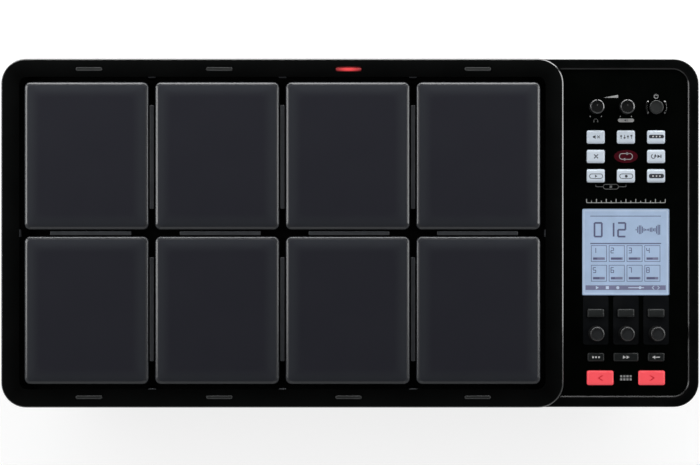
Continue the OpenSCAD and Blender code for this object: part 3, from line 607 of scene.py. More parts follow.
# The opening's bevel and a strip beside it: how far out and how high
BEVEL_STEPS = ((0.0, -0.12), (0.036, -0.042), (0.12, 0.0), (0.52, 0.0))
FRAME_R = 19.0
FRAME_EDGE = 1.3
FRAME_LAND = 0.4
FRAME_FOOT = 0.4
CORNER_STEPS = 12
SIDE_SHARE = 0.7
LED_W = 20.3
LED_D = 3.1
LED_R = 1.3
LED_GAP = 0.1
LED_INSET = 7.9
LED_SHIFTS = (2.0, 1.75, 0.6, -0.6)
frame_low, frame_high = deck_box("pad_frame")
frame_x = ((frame_low + frame_high) / 2).x
frame_w = frame_high.x - frame_low.x
frame_d = frame_high.y - frame_low.y
recess_w, recess_d = [max(high[i] for _, high in pad_boxes) - min(low[i] for low, _ in pad_boxes)
                      + 2 * RECESS_MARGIN for i in range(2)]
led_y = frame_high.y - LED_INSET
led_places = [(x + shift, side * led_y) for (x, _), shift in zip(pad_mids, LED_SHIFTS) for side in (1, -1)]


def frame_shape():
    """The raised frame: opening, bevel, flat top and rounded outer edge, closed underneath."""
    def inner(grow, z):
        return rounded_loop(recess_w + 2 * grow, recess_d + 2 * grow, RECESS_R + grow, z,
                            frame_x, 0, CORNER_STEPS)

    def outer(inset, z):
        """The outer edge is wide beside the panel and narrow on the other sides."""
        side = SIDE_SHARE * inset
        return rounded_loop(frame_w - inset - side, frame_d - 2 * side, FRAME_R - side, z,
                            frame_x + (side - inset) / 2, 0, CORNER_STEPS)

    loops = [inner(grow, z) for grow, z in ((0.0, frame_low.z), *BEVEL_STEPS)]
    loops.append(outer(FRAME_EDGE + FRAME_LAND, 0))
    loops += [outer(inset, z) for inset, z in reversed(edge_sections(FRAME_EDGE, 0.0))]
    loops += [outer(0, frame_low.z + FRAME_FOOT), outer(FRAME_FOOT, frame_low.z)]
    return loft(loops, ring=True)


slot_form = (LED_W + 2 * LED_GAP, LED_D + 2 * LED_GAP, LED_R + LED_GAP)
led_slots = [prism(pill(x, y, *slot_form), frame_low.z - CUT_OVER, CUT_OVER) for x, y in led_places]
# The frame's flat top takes a look with painted shade towards the opening
frame_top(recess_w / 2, recess_d / 2, frame_x)
piece("frame_shell", frame_shape(), "frame_gloss", "frame_gloss", replaces=["pad_frame"],
      cut=joined(led_slots), level="frame_flat_painted_shade")


# Indicator lenses, one of them lit

LIT_LED = 4
# A lens from wall to dish: how far in and how high, for one of full depth
LENS_STEPS = ((0, -1.0), (0.2, -0.35), (0.26, -0.14), (0.42, -0.02), (0.62, 0.0), (0.9, -0.05), (1.05, -0.06))
lens_low = deck_box("pad_led_lenses")[0].z
lit_lens(LED_W / 2)


def lens_shape(x, y, w=LED_W, d=LED_D, shrink=0.3, most=0.45):
    """A lens with drawn-in walls, a rounded lip and a shallow dish."""
    sections = []
    for inset, z in ((0, lens_low), *LENS_STEPS):
        drawn = inset * d / LED_D
        r = min(LED_R - shrink * drawn, most * (d - 2 * drawn))
        sections.append((drawn, r, z))
    return block(w, d, sections, x, y, BAR_STEPS)


unlit = [lens_shape(*spot) for i, spot in enumerate(led_places) if i != LIT_LED]
piece("lenses_unlit", joined(unlit), "lens", "lens", smooth_deg=50, replaces=["pad_led_lenses"],
      level="lens_dish")
piece("lens_lit", lens_shape(0, 0, w=19.7, d=2.1), "lens_lit", "lens", place=deck_spot(*led_places[LIT_LED]),
      smooth_deg=50, replaces=["pad_led_lenses"])


# Divider bars in the gaps between the pads

BAR_W = 3.1
COLUMN_BAR_IN = 0.85
ROW_BAR_SHIFTS = (3.0, 2.3, 1.0, -0.6)
divider_low, divider_high = deck_box("pad_dividers")
bar_form = {"r": 0.55, "edge": 0.5, "low": divider_low.z, "high": divider_high.z}
column_gaps = [(pad_boxes[i][1].x + pad_boxes[i + 1][0].x) / 2 for i in range(3)]
bar_rows = [side * (pad_mids[0][1] - COLUMN_BAR_IN) for side in (1, -1)]
column_bars = [rounded_bar(w=BAR_W, d=78.9, cx=x, cy=y, **bar_form) for x in column_gaps for y in bar_rows]
row_bars = [rounded_bar(w=61.2, d=BAR_W, cx=x + shift, **bar_form)
            for (x, _), shift in zip(pad_mids, ROW_BAR_SHIFTS)]
piece("column_bars", joined(column_bars), "divider", "divider_plastic", replaces=["pad_dividers"])
# The row bars take the lighter copy: painted light in place of the pads' shade on them
piece("row_bars", joined(row_bars), "divider_row_painted_light", "divider_plastic", replaces=["pad_dividers"])


# Clips on the walls of the recess, one at each end of a gap

CLIP_LEN = 5.4
CLIP_T = 0.7
clip_form = {"r": 0.2, "edge": 0.2, "low": divider_low.z, "high": -0.3}
clips = []
for side in (1, -1):
    clip_y = side * (recess_d / 2 - CLIP_T / 2)
    clip_x = frame_x + side * (recess_w / 2 - CLIP_T / 2)
    clips += [rounded_bar(CLIP_LEN, CLIP_T, cx=x, cy=clip_y, **clip_form) for x in column_gaps]
    clips.append(rounded_bar(CLIP_T, CLIP_LEN, cx=clip_x, **clip_form))
piece("recess_clips", joined(clips), "divider", "divider_plastic")


# Keys: rounded caps on a flange, most of them with an icon

KEY_PITCH = 23.0
window_low, window_high = deck_box("display_window")
panel_top = window_high.z
control_x, window_y = middle(window_low, window_high)
columns = [control_x - KEY_PITCH, control_x, control_x + KEY_PITCH]

KEY_R = 1.0
KEY_EDGE = 0.8
# How far a cap is drawn in at the panel and at its shoulder, and the radius of its corners
LIT_FORM = (0.3, 0.85, 1.4)
DARK_FORM = (0.0, 0.1, 1.0)
NECK_DROP = 0.15
FLANGE_RIM = 0.8
FLANGE_T = 1.0
FOOT_R = 2.0
FOOT_LEN = 2.3
FOOT_OVERLAP = 0.1
KEY_CROWN = 0.12
# The crown's steps: how far in from the edge, and the share of its rise
KEY_CROWN_STEPS = ((0.6, 0.5), (1.2, 1.0))
KEY_CROWN_R = 0.4
ICON_SINK = 0.005


def key_shape(low, high, neck, draft, corner, shrink=0.5):
    """A key cap between the corners of its node, drawn about its own middle and in at the panel by a neck."""
    size = high - low
    flange_low = low.z + FOOT_LEN
    flange_high = flange_low + FLANGE_T
    shoulder = high.z - KEY_CROWN
    sections = [(-FLANGE_RIM, KEY_R + FLANGE_RIM, z) for z in (flange_low, flange_high)]
    sections += [(0, KEY_R, flange_high), (neck, corner, panel_top - NECK_DROP)]
    sections += [(draft + step_in, corner - shrink * step_in, z)
                 for step_in, z in edge_sections(KEY_EDGE, shoulder)]
    sections += [(draft + KEY_EDGE + run, KEY_CROWN_R, shoulder + rise * KEY_CROWN)
                 for run, rise in KEY_CROWN_STEPS]
    cap = block(size.x - 2 * FLANGE_RIM, size.y - 2 * FLANGE_RIM, sections)
    foot = turned(((FOOT_R, low.z), (FOOT_R, flange_low + FOOT_OVERLAP)), count=24)
    return joined([cap, foot])


def key_cap(name, material, slot, form, icon=None, ink=None):
    """A key that replaces its node, and the ink on its top."""
    low, high, spot = node_place(name)
    # Below the panel a key takes the flange look: the flange's own colour, and painted shade on its walls in
    # the gap
    piece(name + "_cap", key_shape(low, high, *form), material, slot, name, spot, 50, [name],
          under=("flange", panel_top - NECK_DROP))
    if icon:
        printed(name + "_icon", icon, high.z - ICON_SINK, ink, slot, name, spot)


def speaker_icon(cx, cy, size, waves=True):
    horn = ((-0.45, -0.35), (0.1, -0.8), (0.1, 0.8), (-0.45, 0.35))
    marks = [rect(cx - size * 0.7, cy, w=size * 0.5, h=size * 0.7)]
    marks.append([(cx + size * x, cy + size * y) for x, y in horn])
    if waves:
        marks += [arc(cx + size * 0.1, cy, size * r, size * 0.18, -50, 50) for r in (0.55, 0.95)]
    return marks


def cross_marks(cx, cy, half, width):
    return [stroke(cx - half, cy - half, cx + half, cy + half, width),
            stroke(cx - half, cy + half, cx - width * 0.5, cy + width * 0.5, width),
            stroke(cx + width * 0.5, cy - width * 0.5, cx + half, cy - half, width)]


# Upright lines: where one lies along x, and where its handle stands
SLIDERS = ((-3.9, 0.6), (-1.3, -0.7), (1.3, 0.2), (3.9, 0.9))
WHITE_ICONS = [
    speaker_icon(-0.6, 0, 1.9, False) + cross_marks(1.9, 0, 0.95, 0.5),
    [mark for x, stop in SLIDERS for mark in (rect(x, 0, w=0.4, h=3.0), rect(x, stop, w=1.5, h=0.9))],
    [pill(0, 0.3, 11.6, 2.7)],
    cross_marks(0, 0, 1.5, 0.65),
    [arc(-2.4, 0, r=1.5, width=0.6, start=110, end=360), triangle(-0.9, 0.5, size=1.32, turn_deg=90),
     triangle(1.5, 0, size=1.5, turn_deg=0), rect(3.4, 0, w=0.7, h=2.6)],
    pill_line(0, -0.3, 10.0, 3.4, 0.45) + [triangle(-0.2, -0.3, 1.2, 0)],
    pill_line(0, -0.3, 10.0, 3.4, 0.45) + [disc(0, -0.3, 1.05)],
    [pill(0, -0.2, 11.6, 3.4)],
]
PILL_DOT_LIFT = 0.8
MENU_ICONS = {
    "menu_key": [disc(x, 0, 0.75) for x in (-2.3, 0, 2.3)],
    "quick_key": [triangle(-1.7, 0, 1.5, 0), triangle(1.0, 0, 1.5, 0)],
    "back_key": [triangle(-1.7, 0, 1.5, 180), rect(0.9, 0, 3.6, 0.8)],
}
for i, icon in enumerate(WHITE_ICONS):
    key_cap(f"white_key_{i + 1}", "white_key", "white_key", LIT_FORM, icon, "ink_dark")
# Pale dots on the dark pills of two keys
for name, y in (("white_key_3", 0.3), ("white_key_8", -0.2)):
    _, high, spot = node_place(name)
    dots = [disc(x, y, r=0.6) for x in (-2.6, 0, 2.6)]
    printed(name + "_dots", dots, high.z + PRINT_T * PILL_DOT_LIFT, "ink_white", "white_key", name, spot)
for i in range(1, 4):
    key_cap(f"function_key_{i}", "dark_key", "dark_key", DARK_FORM)
for name, icon in MENU_ICONS.items():
    key_cap(name, "menu_key", "dark_key", DARK_FORM, icon, "ink_white")
for name, side in (("kit_down_key", -1), ("kit_up_key", 1)):
    arrow = chevron(0, 0, reach=3.1, half=2.0, width=1.5, side=side)
    key_cap(name, "red_key", "red_key", LIT_FORM, [arrow], "ink_red")


# Knobs: a fluted skirt, a smooth rim and a dished face

KNOB_FOOT = 0.2
KNOB_POINTS = 96
SKIRT_GAP = 0.3
RIM_EDGE = 1.2
# Above this share of the rim's edge a knob has its rim's look
RIM_LINE = 0.6
LIP = 0.25
LIP_DROP = 0.1
DISH_DROP = 0.45
DISH_DRAFT = 0.1
DISH_SAG = 0.1
FACE_GAP = 0.12
# The face in the dish, over the dish's floor: its foot, its wall's top, its rim and its middle
FACE_LEVELS = (-0.3, 0.16, 0.2, 0.1)
FACE_EDGE = 0.1


def knob_shape(foot_r, top_r, low, high):
    """A knob from its foot over its rim to the middle of its dish."""
    skirt = ((foot_r, low + KNOB_FOOT), (top_r, high - RIM_EDGE - SKIRT_GAP))
    dish_r = top_r - RIM_EDGE - LIP
    smooth = [(top_r - inset, z) for inset, z in edge_sections(RIM_EDGE, high)]
    smooth += [(dish_r, high - LIP_DROP), (dish_r - DISH_DRAFT, high - DISH_DROP),
               (dish_r / 2, high - DISH_DROP - DISH_SAG)]
    loops = [round_loop(foot_r - KNOB_FOOT, low, KNOB_POINTS)]
    loops += [round_loop(r, z, KNOB_POINTS, groove=0.2, flutes=24) for r, z in skirt]
    loops += [round_loop(r, z, KNOB_POINTS) for r, z in smooth]
    return loft(loops)


def knob_piece(control, foot_r, rim_look, face_look, taper=0.0, pointer=False):
    """A knob that replaces its node, the face in its dish, and a dot and a notch where it points."""
    node = control + "_knob"
    top_r = foot_r - taper
    low, high, spot = node_place(node)
    on_knob = ("knob_plastic", control + "_control", spot)
    piece(node + "_body", knob_shape(foot_r, top_r, low.z, high.z), rim_look, *on_knob, 50, [node],
          under=("knob", high.z - RIM_LINE * RIM_EDGE))
    face_r = top_r - RIM_EDGE - LIP - FACE_GAP
    levels = [high.z - DISH_DROP - DISH_SAG + level for level in FACE_LEVELS]
    face = turned(zip((face_r, face_r, face_r - FACE_EDGE, face_r / 2), levels), count=64)
    piece(node + "_face", face, face_look, *on_knob, 40)
    if pointer:
        printed(node + "_pointer", [disc(0, cy=1.0, r=0.35)], levels[-1], "ink_grey", *on_knob)
        notch = rounded_bar(w=0.8, d=RIM_EDGE + LIP, r=0.2, edge=0.15, low=high.z - 0.9, high=high.z + 0.05,
                            cy=top_r - (RIM_EDGE + LIP) / 2)
        piece(node + "_notch", notch, "knob", *on_knob)


def half_width(node):
    low, high = deck_box(node)
    return (high.x - low.x) / 2


volume_r = half_width("master_knob")
encoder_r = half_width("encoder_1_knob")
for control in ("phones", "master"):
    knob_piece(control, volume_r, "knob_rim", "knob_dish", pointer=True)
for i in range(1, 4):
    knob_piece(f"encoder_{i}", encoder_r, "encoder_rim", "encoder_face", taper=0.5)


# Power button between two guard arcs

POWER_EDGE = 0.6
# The flange's lower and upper face over the node's foot
POWER_FLANGE = (0.3, 1.3)
# The dish: how far in from the button's wall and how far down
POWER_DISH = ((1.5, 0.12), (3, 0.25))
power_low, power_high, power_spot = node_place("power_button")
power_mid = (power_low + power_high) / 2
power_r = half_width("power_button") - FLANGE_RIM
power_sections = [(power_r + FLANGE_RIM, power_low.z + rise) for rise in POWER_FLANGE]
power_sections.append((power_r, power_low.z + POWER_FLANGE[1]))
power_sections += [(power_r - inset, z) for inset, z in edge_sections(POWER_EDGE, power_high.z)]
power_sections += [(power_r - run, power_high.z - drop) for run, drop in POWER_DISH]
piece("power_button_cap", turned(power_sections, count=64), "power_cap", "power_cap", "power_button",
      power_spot, 40, ["power_button"])

GUARD_GAP = 1.6
GUARD_W = 1.4
GUARD_H = 2.0
# How far the arcs stand proud of the solids that they cover
GUARD_SKIN = 0.05
GUARD_HALF_DEG = 30
GUARD_STEPS = 8
# An arc's end: how many degrees further, and how far down
GUARD_ENDS = ((8.5, 0.78), (4.5, 0.39), (0.5, 0.0))
guard_foot = panel_top - 0.1
guard_top = panel_top + GUARD_H + GUARD_SKIN
guard_wall = GUARD_W + GUARD_SKIN
guard_section = [(-GUARD_SKIN, guard_foot), (-GUARD_SKIN, guard_top - 0.6), (0.2, guard_top - 0.25),
                 (0.5, guard_top), (GUARD_W - 0.6, guard_top), (guard_wall, guard_top - 0.42),
                 (guard_wall, guard_foot)]
guard_turns = [(-GUARD_HALF_DEG - deg, drop) for deg, drop in GUARD_ENDS]
guard_turns += [(GUARD_HALF_DEG * (i / GUARD_STEPS - 1), 0.0) for i in range(1, 2 * GUARD_STEPS)]
guard_turns += [(GUARD_HALF_DEG + deg, drop) for deg, drop in reversed(GUARD_ENDS)]


def guard_arc(side):
    loops = []
    for deg, drop in guard_turns:
        a = radians(deg)
        loop = []
        for out, z in guard_section:
            r = power_r + GUARD_GAP + out
            x = power_mid.x + side * r * cos(a)
            loop.append((x, power_mid.y + r * sin(a), max(z - drop, guard_foot)))
        loops.append(loop)
    return loft(loops)


piece("guard_arcs", joined([guard_arc(side) for side in (1, -1)]), "guard", "panel_gloss", smooth_deg=40)


# Sloping step around the panel's open sides

PANEL_R = 12.0
STEP_SIDE = 0.88
STEP_IN_RIGHT = 0.45
STEP_IN_FRONT = 0.8
STEP_OUTER = 1.6
STEP_START = 0.5
panel_low, panel_high = deck_box("control_panel")


def panel_path(out):
    """The panel's edge from the frame around its two right corners, moved out by a distance.

    The step is steeper on its right side, and lies a little over the panel there and at the front.
    """
    points = [(panel_low.x + STEP_START, panel_high.y + out)]
    over = 1.0 if out < STEP_OUTER else 0.0
    corner_x = panel_high.x - over * STEP_IN_RIGHT - PANEL_R
    rear_y = panel_high.y - PANEL_R
    for corner_y, start in ((rear_y, 90), (over * STEP_IN_FRONT - rear_y, 0)):
        for i in range(CORNER_STEPS + 1):
            a = radians(start - 90 * i / CORNER_STEPS)
            points.append((corner_x + (PANEL_R + STEP_SIDE * out) * cos(a),
                           corner_y + (PANEL_R + out) * sin(a)))
    points.append((panel_low.x + STEP_START, over * STEP_IN_FRONT - panel_high.y - out))
    return points


step_foot = panel_top - 0.2
step_top = panel_top + 1.005
step_section = [(-0.2, step_foot), (-0.2, panel_top + 0.02), (0.6, panel_top + 0.62), (0.75, step_top),
                (STEP_OUTER, step_top), (STEP_OUTER, step_foot)]
piece("panel_step", swept(panel_path, step_section), "panel_step", "case_plastic", smooth_deg=20)


# Panel prints: icons, a bracket, a scale rule and bays


def panel_print(name, outlines, ink, lift=0.0):
    """Ink on the panel, lifted by a share of its thickness where it lies on other ink."""
    printed(name, outlines, panel_top + PRINT_T * lift, ink, "panel_gloss")


VOLUME_LABEL_Y = 104.3
WEDGE_HALF = 5.5
DOT_Y = 89.0
DOT_X = 4.3
KNOB_LABEL_Y = 86.0
volume_x = (columns[0] + columns[1]) / 2
wedge_foot = VOLUME_LABEL_Y - 1.0
label_marks = [[(volume_x - WEDGE_HALF, wedge_foot), (volume_x + WEDGE_HALF, wedge_foot),
                (volume_x + WEDGE_HALF, VOLUME_LABEL_Y + 1.2)]]
label_marks.append(arc(columns[2], VOLUME_LABEL_Y, r=1.5, width=0.5, start=120, end=420))
label_marks.append(rect(columns[2], VOLUME_LABEL_Y + 1.125, w=0.5, h=1.5))
label_marks += [disc(x + side * DOT_X, DOT_Y, r=0.45) for x in columns[:2] for side in (-1, 1)]
panel_print("panel_labels", label_marks, "ink_pale")
phones_icon = [arc(columns[0], KNOB_LABEL_Y - 0.38, r=1.52, width=0.38, start=0, end=180)]
phones_icon += [rect(columns[0] + x, KNOB_LABEL_Y - 0.855, w=0.855, h=1.33) for x in (-1.425, 1.425)]
panel_print("phones_icon", phones_icon, "ink_grey")
panel_print("master_pill", [pill(columns[1], KNOB_LABEL_Y, w=12.2, h=2.8)], "ink_pale")
panel_print("master_icon", speaker_icon(columns[1], KNOB_LABEL_Y, size=1.2), "ink_dark", lift=0.9)

OVAL_Y = 58.5
LOOP_H = 4.4
loop_oval = [(control_x + 9.0 * x, OVAL_Y + 4.95 * y) for x, y in disc(0, 0, r=1, count=64)]
panel_print("loop_oval", [loop_oval], "ink_oval")
loop_marks = pill_line(control_x, OVAL_Y, w=10.0, h=LOOP_H, width=0.6)
loop_marks += [triangle(control_x + side * 1.2, OVAL_Y + side * LOOP_H / 2, size=1.4, turn_deg=90 - side * 90)
               for side in (1, -1)]
panel_print("loop_icon", loop_marks, "ink_pale", lift=0.9)

BRACKET_Y = 37.0
BRACKET_LEG = 1.6
BRACKET_LINE = 0.4
BRACKET_PILL_W = 11.6
arm_len = (columns[1] - columns[0] - BRACKET_PILL_W) / 2
arm_x = (BRACKET_PILL_W + arm_len) / 2
arm_y = BRACKET_Y - BRACKET_LEG
bracket = [rect(volume_x + side * arm_x, arm_y, arm_len, BRACKET_LINE) for side in (1, -1)]
bracket += [rect(x, BRACKET_Y - BRACKET_LEG / 2, BRACKET_LINE, BRACKET_LEG) for x in columns[:2]]
bracket += pill_line(volume_x, arm_y, BRACKET_PILL_W, h=3.6, width=BRACKET_LINE)
bracket.append(rect(volume_x, arm_y, w=1.8, h=1.8))
panel_print("bracket", bracket, "ink_grey")

RULE_Y = 24.6
RULE_LEN = 60.0
RULE_STEPS = 16
RULE_TICKS = (2.6, 1.3)
rule = [rect(control_x, RULE_Y - 1.4, RULE_LEN, h=0.5)]
for i in range(RULE_STEPS + 1):
    tick = RULE_TICKS[i % 2]
    tick_x = control_x + RULE_LEN * (i / RULE_STEPS - 0.5)
    rule.append(rect(tick_x, RULE_Y - 1.15 + tick / 2, w=0.6, h=tick))
panel_print("scale_rule", rule, "ink_pale")

bay_shapes = []
bay_holes = []
for x in columns:
    bay = pill(x, cy=-66.3, w=19.4, h=37.4, r=2.0)
    bay_shapes.append(prism(bay, panel_top, panel_top + PRINT_T))
    holes = (pill(x, cy=-61.0, w=13.3, h=7.1, r=1.3), disc(x, cy=-76.4, r=4.2, count=48))
    bay_holes += [prism(hole, panel_top - CUT_OVER, panel_top + CUT_OVER) for hole in holes]
piece("control_bays", joined(bay_shapes), "bay_print", "panel_gloss", cut=joined(bay_holes))

KIT_ICON_Y = -110.3
KIT_PITCH = 2.4
kit_marks = [rect(control_x - 3.6 + KIT_PITCH * i, KIT_ICON_Y + 1.2 - KIT_PITCH * j, w=1.6, h=1.6)
             for i in range(4) for j in range(2)]
panel_print("kit_icon", kit_marks, "ink_pale")


# Display: a lit picture on the module's face under a clear window

LCD_T = 0.06
LCD_MARGIN = 0.9
LCD_EDGE = 0.8
lcd_w = window_high.x - window_low.x
lcd_d = window_high.y - window_low.y
window_shape = rounded_bar(lcd_w, lcd_d, r=0.8, edge=0.25, low=window_low.z + 0.35, high=panel_top,
                           cx=control_x, cy=window_y)
piece("window_glass", window_shape, "window", "window", replaces=["display_window"])


def lcd_layer(name, outlines, level, material):
    """Flat marks in one of the thin layers under the window, drawn about the display's middle."""
    printed(name, outlines, window_low.z + level * LCD_T, material, "display",
            place=deck_spot(control_x, window_y), thick=LCD_T)


NUMBER_Y = 17
METER_DROP = 3.8
STRIP_Y = -27.2
picture_w = lcd_w - 2 * LCD_MARGIN
picture_d = lcd_d - 2 * LCD_MARGIN
lcd_layer("lcd_border", [rect(0, 0, picture_w, picture_d)], 0, "lcd_edge")
lcd_layer("lcd_field", [rect(0, 0, picture_w - 2 * LCD_EDGE, picture_d - 2 * LCD_EDGE)], 1, "lcd_back")
marks = []
for value, x in (("0", -21), ("1", -12), ("2", -3)):
    marks += digit(value, x, NUMBER_Y, w=5.6, h=10.4, width=1.3)
marks += [rect(0, cy=27.4, w=54, h=0.5), rect(0, cy=6.5, w=54, h=0.8)]
for i in range(16):
    level = 1.0 + 7.0 * abs(sin(0.55 * i) * cos(0.21 * i))
    marks.append(rect(8 + i * 1.2, NUMBER_Y, w=0.7, h=level))
tints = []
for i in range(8):
    row, col = divmod(i, 4)
    cx = -20.4 + 13.6 * col
    cy = -1.2 - 15.0 * row
    marks += frame_line(cx, cy, w=11.6, h=12.2, width=0.4)
    marks += digit(str(i + 1), cx - 3.4, cy + 2.4, w=2.0, h=3.8, width=0.55)
    fill = 3.0 + 1.6 * ((3 * col + 5 * row) % 4)
    marks.append(rect(cx - 4.4 + fill / 2, cy - METER_DROP, w=fill, h=1.4))
    tints.append(rect(cx, cy - METER_DROP, w=9.0, h=1.9))
tints.append(rect(0, STRIP_Y, picture_w - 4 * LCD_EDGE, h=3.6))
strip = [triangle(-22, STRIP_Y, size=1.5, turn_deg=0), rect(-14, STRIP_Y, w=2.3, h=2.3),
         disc(-6, STRIP_Y, r=1.2), rect(8, STRIP_Y, w=12, h=0.7), disc(11, STRIP_Y, r=1.1)]
strip += [chevron(x, STRIP_Y, reach=1.4, half=1.4, width=0.7, side=side) for x, side in ((21, -1), (25, 1))]
lcd_layer("lcd_tints", tints, 2, "lcd_tint")
lcd_layer("lcd_marks", marks, 3, "lcd_mark")
lcd_layer("lcd_strip", strip, 3, "lcd_edge")


# Foam under the pads

FOAM_INSET = 3.0
foam_low, foam_high = deck_box("pad_foam")
foam_form = {"r": PAD_R, "edge": 0.3, "low": foam_low.z, "high": foam_high.z}
foam_sheets = [rounded_bar(pad_size.x - 2 * FOAM_INSET, pad_size.y - 2 * FOAM_INSET, cx=x, cy=y, **foam_form)
               for x, y in pad_mids]
piece("foam_sheets", joined(foam_sheets), "foam", "foam", replaces=["pad_foam"])


# Rear sockets: metal and marks added to the solids of the jacks, data sockets and power inlet

JACK_X = 8.0
JACK_PITCH = 24.0
JACK_NUT_T = 2.5
JACK_RING = ((3.35, 2.3), (4.7, 2.3), (4.7, 2.8), (4.4, 3.1), (3.6, 3.1), (3.35, 2.85))
DIN_BODY = 19.0
DIN_SHIELD = ((6.5, -6.1), (6.98, -6.1), (6.98, 0.9), (6.85, 1.1), (6.6, 1.1), (6.5, 0.9))
DIN_FACE = ((6.45, -6.0), (6.45, -3.5), (6.15, -3.2))
DIN_PIN = ((0.5, -0.1), (0.95, -0.1), (0.95, 0.12), (0.8, 0.2), (0.6, 0.2), (0.5, 0.12))
USB_SHELL_Z = (-7.9, 1.3)
# The shell's outline, outside and inside: width, height and radius
USB_SHELL_OUT = (8.96, 8.36, 0.6)
USB_SHELL_IN = (8.2, 7.6, 0.3)
DC_RING = ((3.05, 0.3), (4.1, 0.3), (4.1, 0.7), (3.9, 0.9), (3.3, 0.9), (3.05, 0.75))
DC_PIN = ((1.05, -10.9), (1.05, -0.9), (0.8, -0.6))
MARK_Z = 24.0
jack_low, jack_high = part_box("phone_jacks")
data_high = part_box("data_sockets")[1]
dc_low, dc_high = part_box("dc_inlet")
bay_y = jack_high.y / MM - JACK_NUT_T
socket_z = (jack_low.z + jack_high.z) / 2 / MM
din_z = data_high.z / MM - DIN_BODY / 2
dc_x = (dc_low.x + dc_high.x) / 2 / MM
mark_y = MARK_Z - socket_z
din_mark_y = MARK_Z - din_z


def socket_spot(x, z):
    """Axes on the sockets' wall as seen from behind: x to the right, y up and z out of the rear."""
    upright = Matrix.Rotation(radians(-90), 4, "X") @ Matrix.Rotation(pi, 4, "Z")
    return Matrix.Translation(Vector((x, bay_y, z)) * MM) @ upright


def socket_metal(name, shape, spot):
    piece(name, shape, "nickel", "plated_steel", place=spot)


def socket_mark(name, outlines, spot):
    printed(name, outlines, 0.0, "ink_pale", "socket_plastic", place=spot)


for i in range(1, 7):
    spot = socket_spot(JACK_X - JACK_PITCH * (i - 1), socket_z)
    socket_metal(f"jack_ring_{i}", turned_ring(JACK_RING), spot)
    socket_mark(f"jack_mark_{i}", digit(str(i), 0, mark_y, w=1.7, h=3.2, width=0.5), spot)
din_pins = [turned_ring(DIN_PIN, *pin, cz=-3.2, count=16) for pin in around(0, 0, 3.6, range(0, 181, 45))]
for i, x, arrow_x, turn_deg in ((1, 36.0, -1.6, 180), (2, 61.0, 1.6, 0)):
    spot = socket_spot(x, din_z)
    socket_metal(f"din_shield_{i}", turned_ring(DIN_SHIELD), spot)
    piece(f"din_face_{i}", turned(DIN_FACE, count=48), "socket", "socket_plastic", place=spot)
    socket_metal(f"din_pins_{i}", joined(din_pins), spot)
    arrow = [triangle(arrow_x, din_mark_y, 1.5, turn_deg), rect(0, din_mark_y, w=3.0, h=0.6)]
    socket_mark(f"din_mark_{i}", arrow, spot)
usb_spot = socket_spot(x=87.0, z=socket_z)
shell = [rounded_loop(*USB_SHELL_OUT, z) for z in USB_SHELL_Z]
shell += [rounded_loop(*USB_SHELL_IN, z) for z in reversed(USB_SHELL_Z)]
socket_metal("usb_shell", loft(shell, ring=True), usb_spot)
tongue = rounded_bar(w=5.4, d=2.8, r=0.3, edge=0.3, low=USB_SHELL_Z[0], high=-0.4)
piece("usb_tongue", tongue, "tongue", "socket_plastic", place=usb_spot)
socket_mark("usb_mark", [rect(0, mark_y, w=0.6, h=3.0), rect(0, mark_y + 1.7, w=2.2, h=1.4)], usb_spot)
dc_spot = socket_spot(dc_x, socket_z)
socket_metal("dc_ring", turned_ring(DC_RING), dc_spot)
socket_metal("dc_pin", turned(DC_PIN, count=24), dc_spot)
dc_marks = [arc(0, mark_y, r=1.5, width=0.5, start=20, end=340), disc(0, mark_y, r=0.6)]
socket_mark("dc_mark", dc_marks, dc_spot)


# CAD nodes that show as they are

CAD_LOOKS = {
    "case_plastic": "top_case", "panel_gloss": "control_panel", "base_plastic": "bottom_case",
    "chassis": "pad_chassis", "lcd_back": "display_module", "film": "force_sensors", "silicone": "keypad_mat",
    "board": "main_board panel_board jack_board", "socket": "phone_jacks data_sockets dc_inlet",
    "steel": "volume_pots rotary_encoders phones_shaft master_shaft encoder_1_shaft encoder_2_shaft "
             "encoder_3_shaft inner_screws",
    "rubber": "feet", "brass": "stand_inserts", "screw": "case_screws",
}
for look, names in CAD_LOOKS.items():
    for node in names.split():
        nodes[node].data.materials.clear()
        nodes[node].data.materials.append(MATERIALS[look])


# Curved walls of the solids are shaded smooth across the gentle edges between their facets

GENTLE_DEG = 32.0


def smooth_corners():
    group = bpy.data.node_groups.new("smooth_corners", "GeometryNodeTree")
    for way in ("INPUT", "OUTPUT"):
        group.interface.new_socket("Geometry", in_out=way, socket_type="NodeSocketGeometry")
    shape = add_node(group, "NodeGroupInput", "Geometry", {})
    angle = add_node(group, "GeometryNodeInputMeshEdgeAngle", "Unsigned Angle", {})
    gentle = add_node(group, "FunctionNodeCompare", "Result", {0: angle, 1: radians(GENTLE_DEG)},
                      data_type="FLOAT", operation="LESS_THAN")
    for domain, inputs in (("FACE", {}), ("EDGE", {"Shade Smooth": gentle})):
        inputs["Geometry"] = shape
        shape = add_node(group, "GeometryNodeSetShadeSmooth", "Geometry", inputs, domain=domain)
    feed(group.nodes.new("NodeGroupOutput"), {"Geometry": shape})
    return group


corner_group = smooth_corners()
for node in ("top_case", "bottom_case", "feet", "phone_jacks", "data_sockets", "dc_inlet"):
    nodes[node].modifiers.new("smooth_corners", "NODES").node_group = corner_group
    nodes[node].modifiers.new("even_normals", "WEIGHTED_NORMAL").keep_sharp = True


# Stage: camera, floor and light

PHOTO_W_PX = 700
MM_PER_PX = 0.763
CAMERA_REACH = 1300.0
IMAGE_SCALE = 1.0045

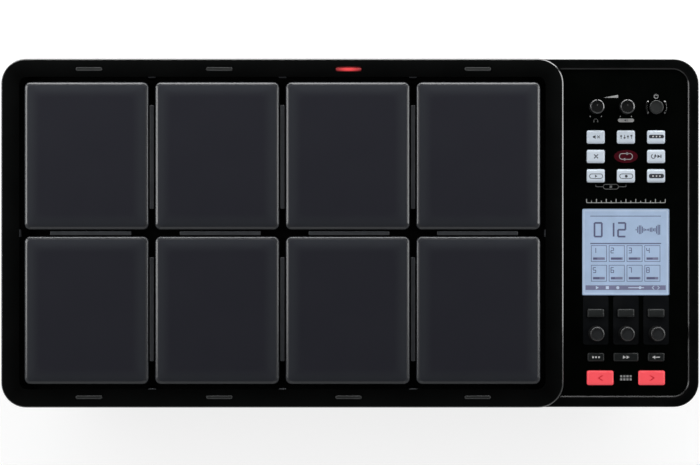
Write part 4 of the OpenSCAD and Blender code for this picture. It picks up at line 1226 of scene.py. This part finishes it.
camera_data = bpy.data.cameras.new("camera")
camera = new_object("camera", camera_data)
camera_data.lens = camera_data.sensor_width * CAMERA_REACH * IMAGE_SCALE / (PHOTO_W_PX * MM_PER_PX)
camera.matrix_world = deck_spot(x=-0.35, y=0.5, z=CAMERA_REACH)
scene.camera = camera

# The floor's width and depth are in metres
floor_corners = [(x, y, 0) for x, y in rect(0, 0, w=8.0, h=8.0)]
floor_mesh = bpy.data.meshes.new("floor")
floor_mesh.from_pydata(floor_corners, [], [(0, 1, 2, 3)])
floor = new_object("floor", floor_mesh)
floor_tree, floor_bsdf = blank_material("floor")
rays = floor_tree.nodes.new("ShaderNodeLightPath").outputs
ray_sum = maths(floor_tree, "ADD", rays["Is Camera Ray"], rays["Is Glossy Ray"])
seen = maths(floor_tree, "ADD", ray_sum, rays["Is Transmission Ray"], clamp=True)
feed(floor_bsdf, {
    "Base Color": (0.3, 0.3, 0.3), "Roughness": 0.9, "Specular IOR Level": 0.1, "Emission Color": (1, 1, 1),
    "Emission Strength": mapped(floor_tree, seen, low=0.0, high=0.8, start=0.0, stop=1.0)})
floor_mesh.materials.append(MATERIALS["floor"])

# Lamps: place, width and height in metres, and watts
LAMPS = {
    "rear_light": ((0, 0.72, 0.34), 1.75, 0.2, 10.4),
    "left_light": ((-1.25, 0.22, 0.56), 0.9, 0.45, 7.6),
    "right_light": ((1.25, 0.24, 0.54), 0.9, 0.45, 7.2),
    "front_light": ((0, -1.25, 0.75), 1.6, 0.4, 1.05),
}
LAMP_TARGET = Vector((0, 0, 0.06))
for name, (place, width, height, watts) in LAMPS.items():
    light = bpy.data.lights.new(name, "AREA")
    light.shape = "RECTANGLE"
    light.size = width
    light.size_y = height
    light.energy = watts
    lamp = new_object(name, light)
    lamp.location = place
    lamp.rotation_euler = (LAMP_TARGET - Vector(place)).to_track_quat("-Z", "Y").to_euler()

SKY_LOW = (0.8, 0.81, 0.82)
SKY_HIGH = (0.012, 0.012, 0.012)
world = bpy.data.worlds.new("world")
scene.world = world
world.use_nodes = True
sky = world.node_tree
sky_height = mapped(sky, axis(sky, "Z", "Generated"), start=0.0, stop=0.8)
feed(sky.nodes["Background"], {"Color": colour_between(sky, sky_height, SKY_LOW, SKY_HIGH)})

scene.view_settings.view_transform = "Standard"
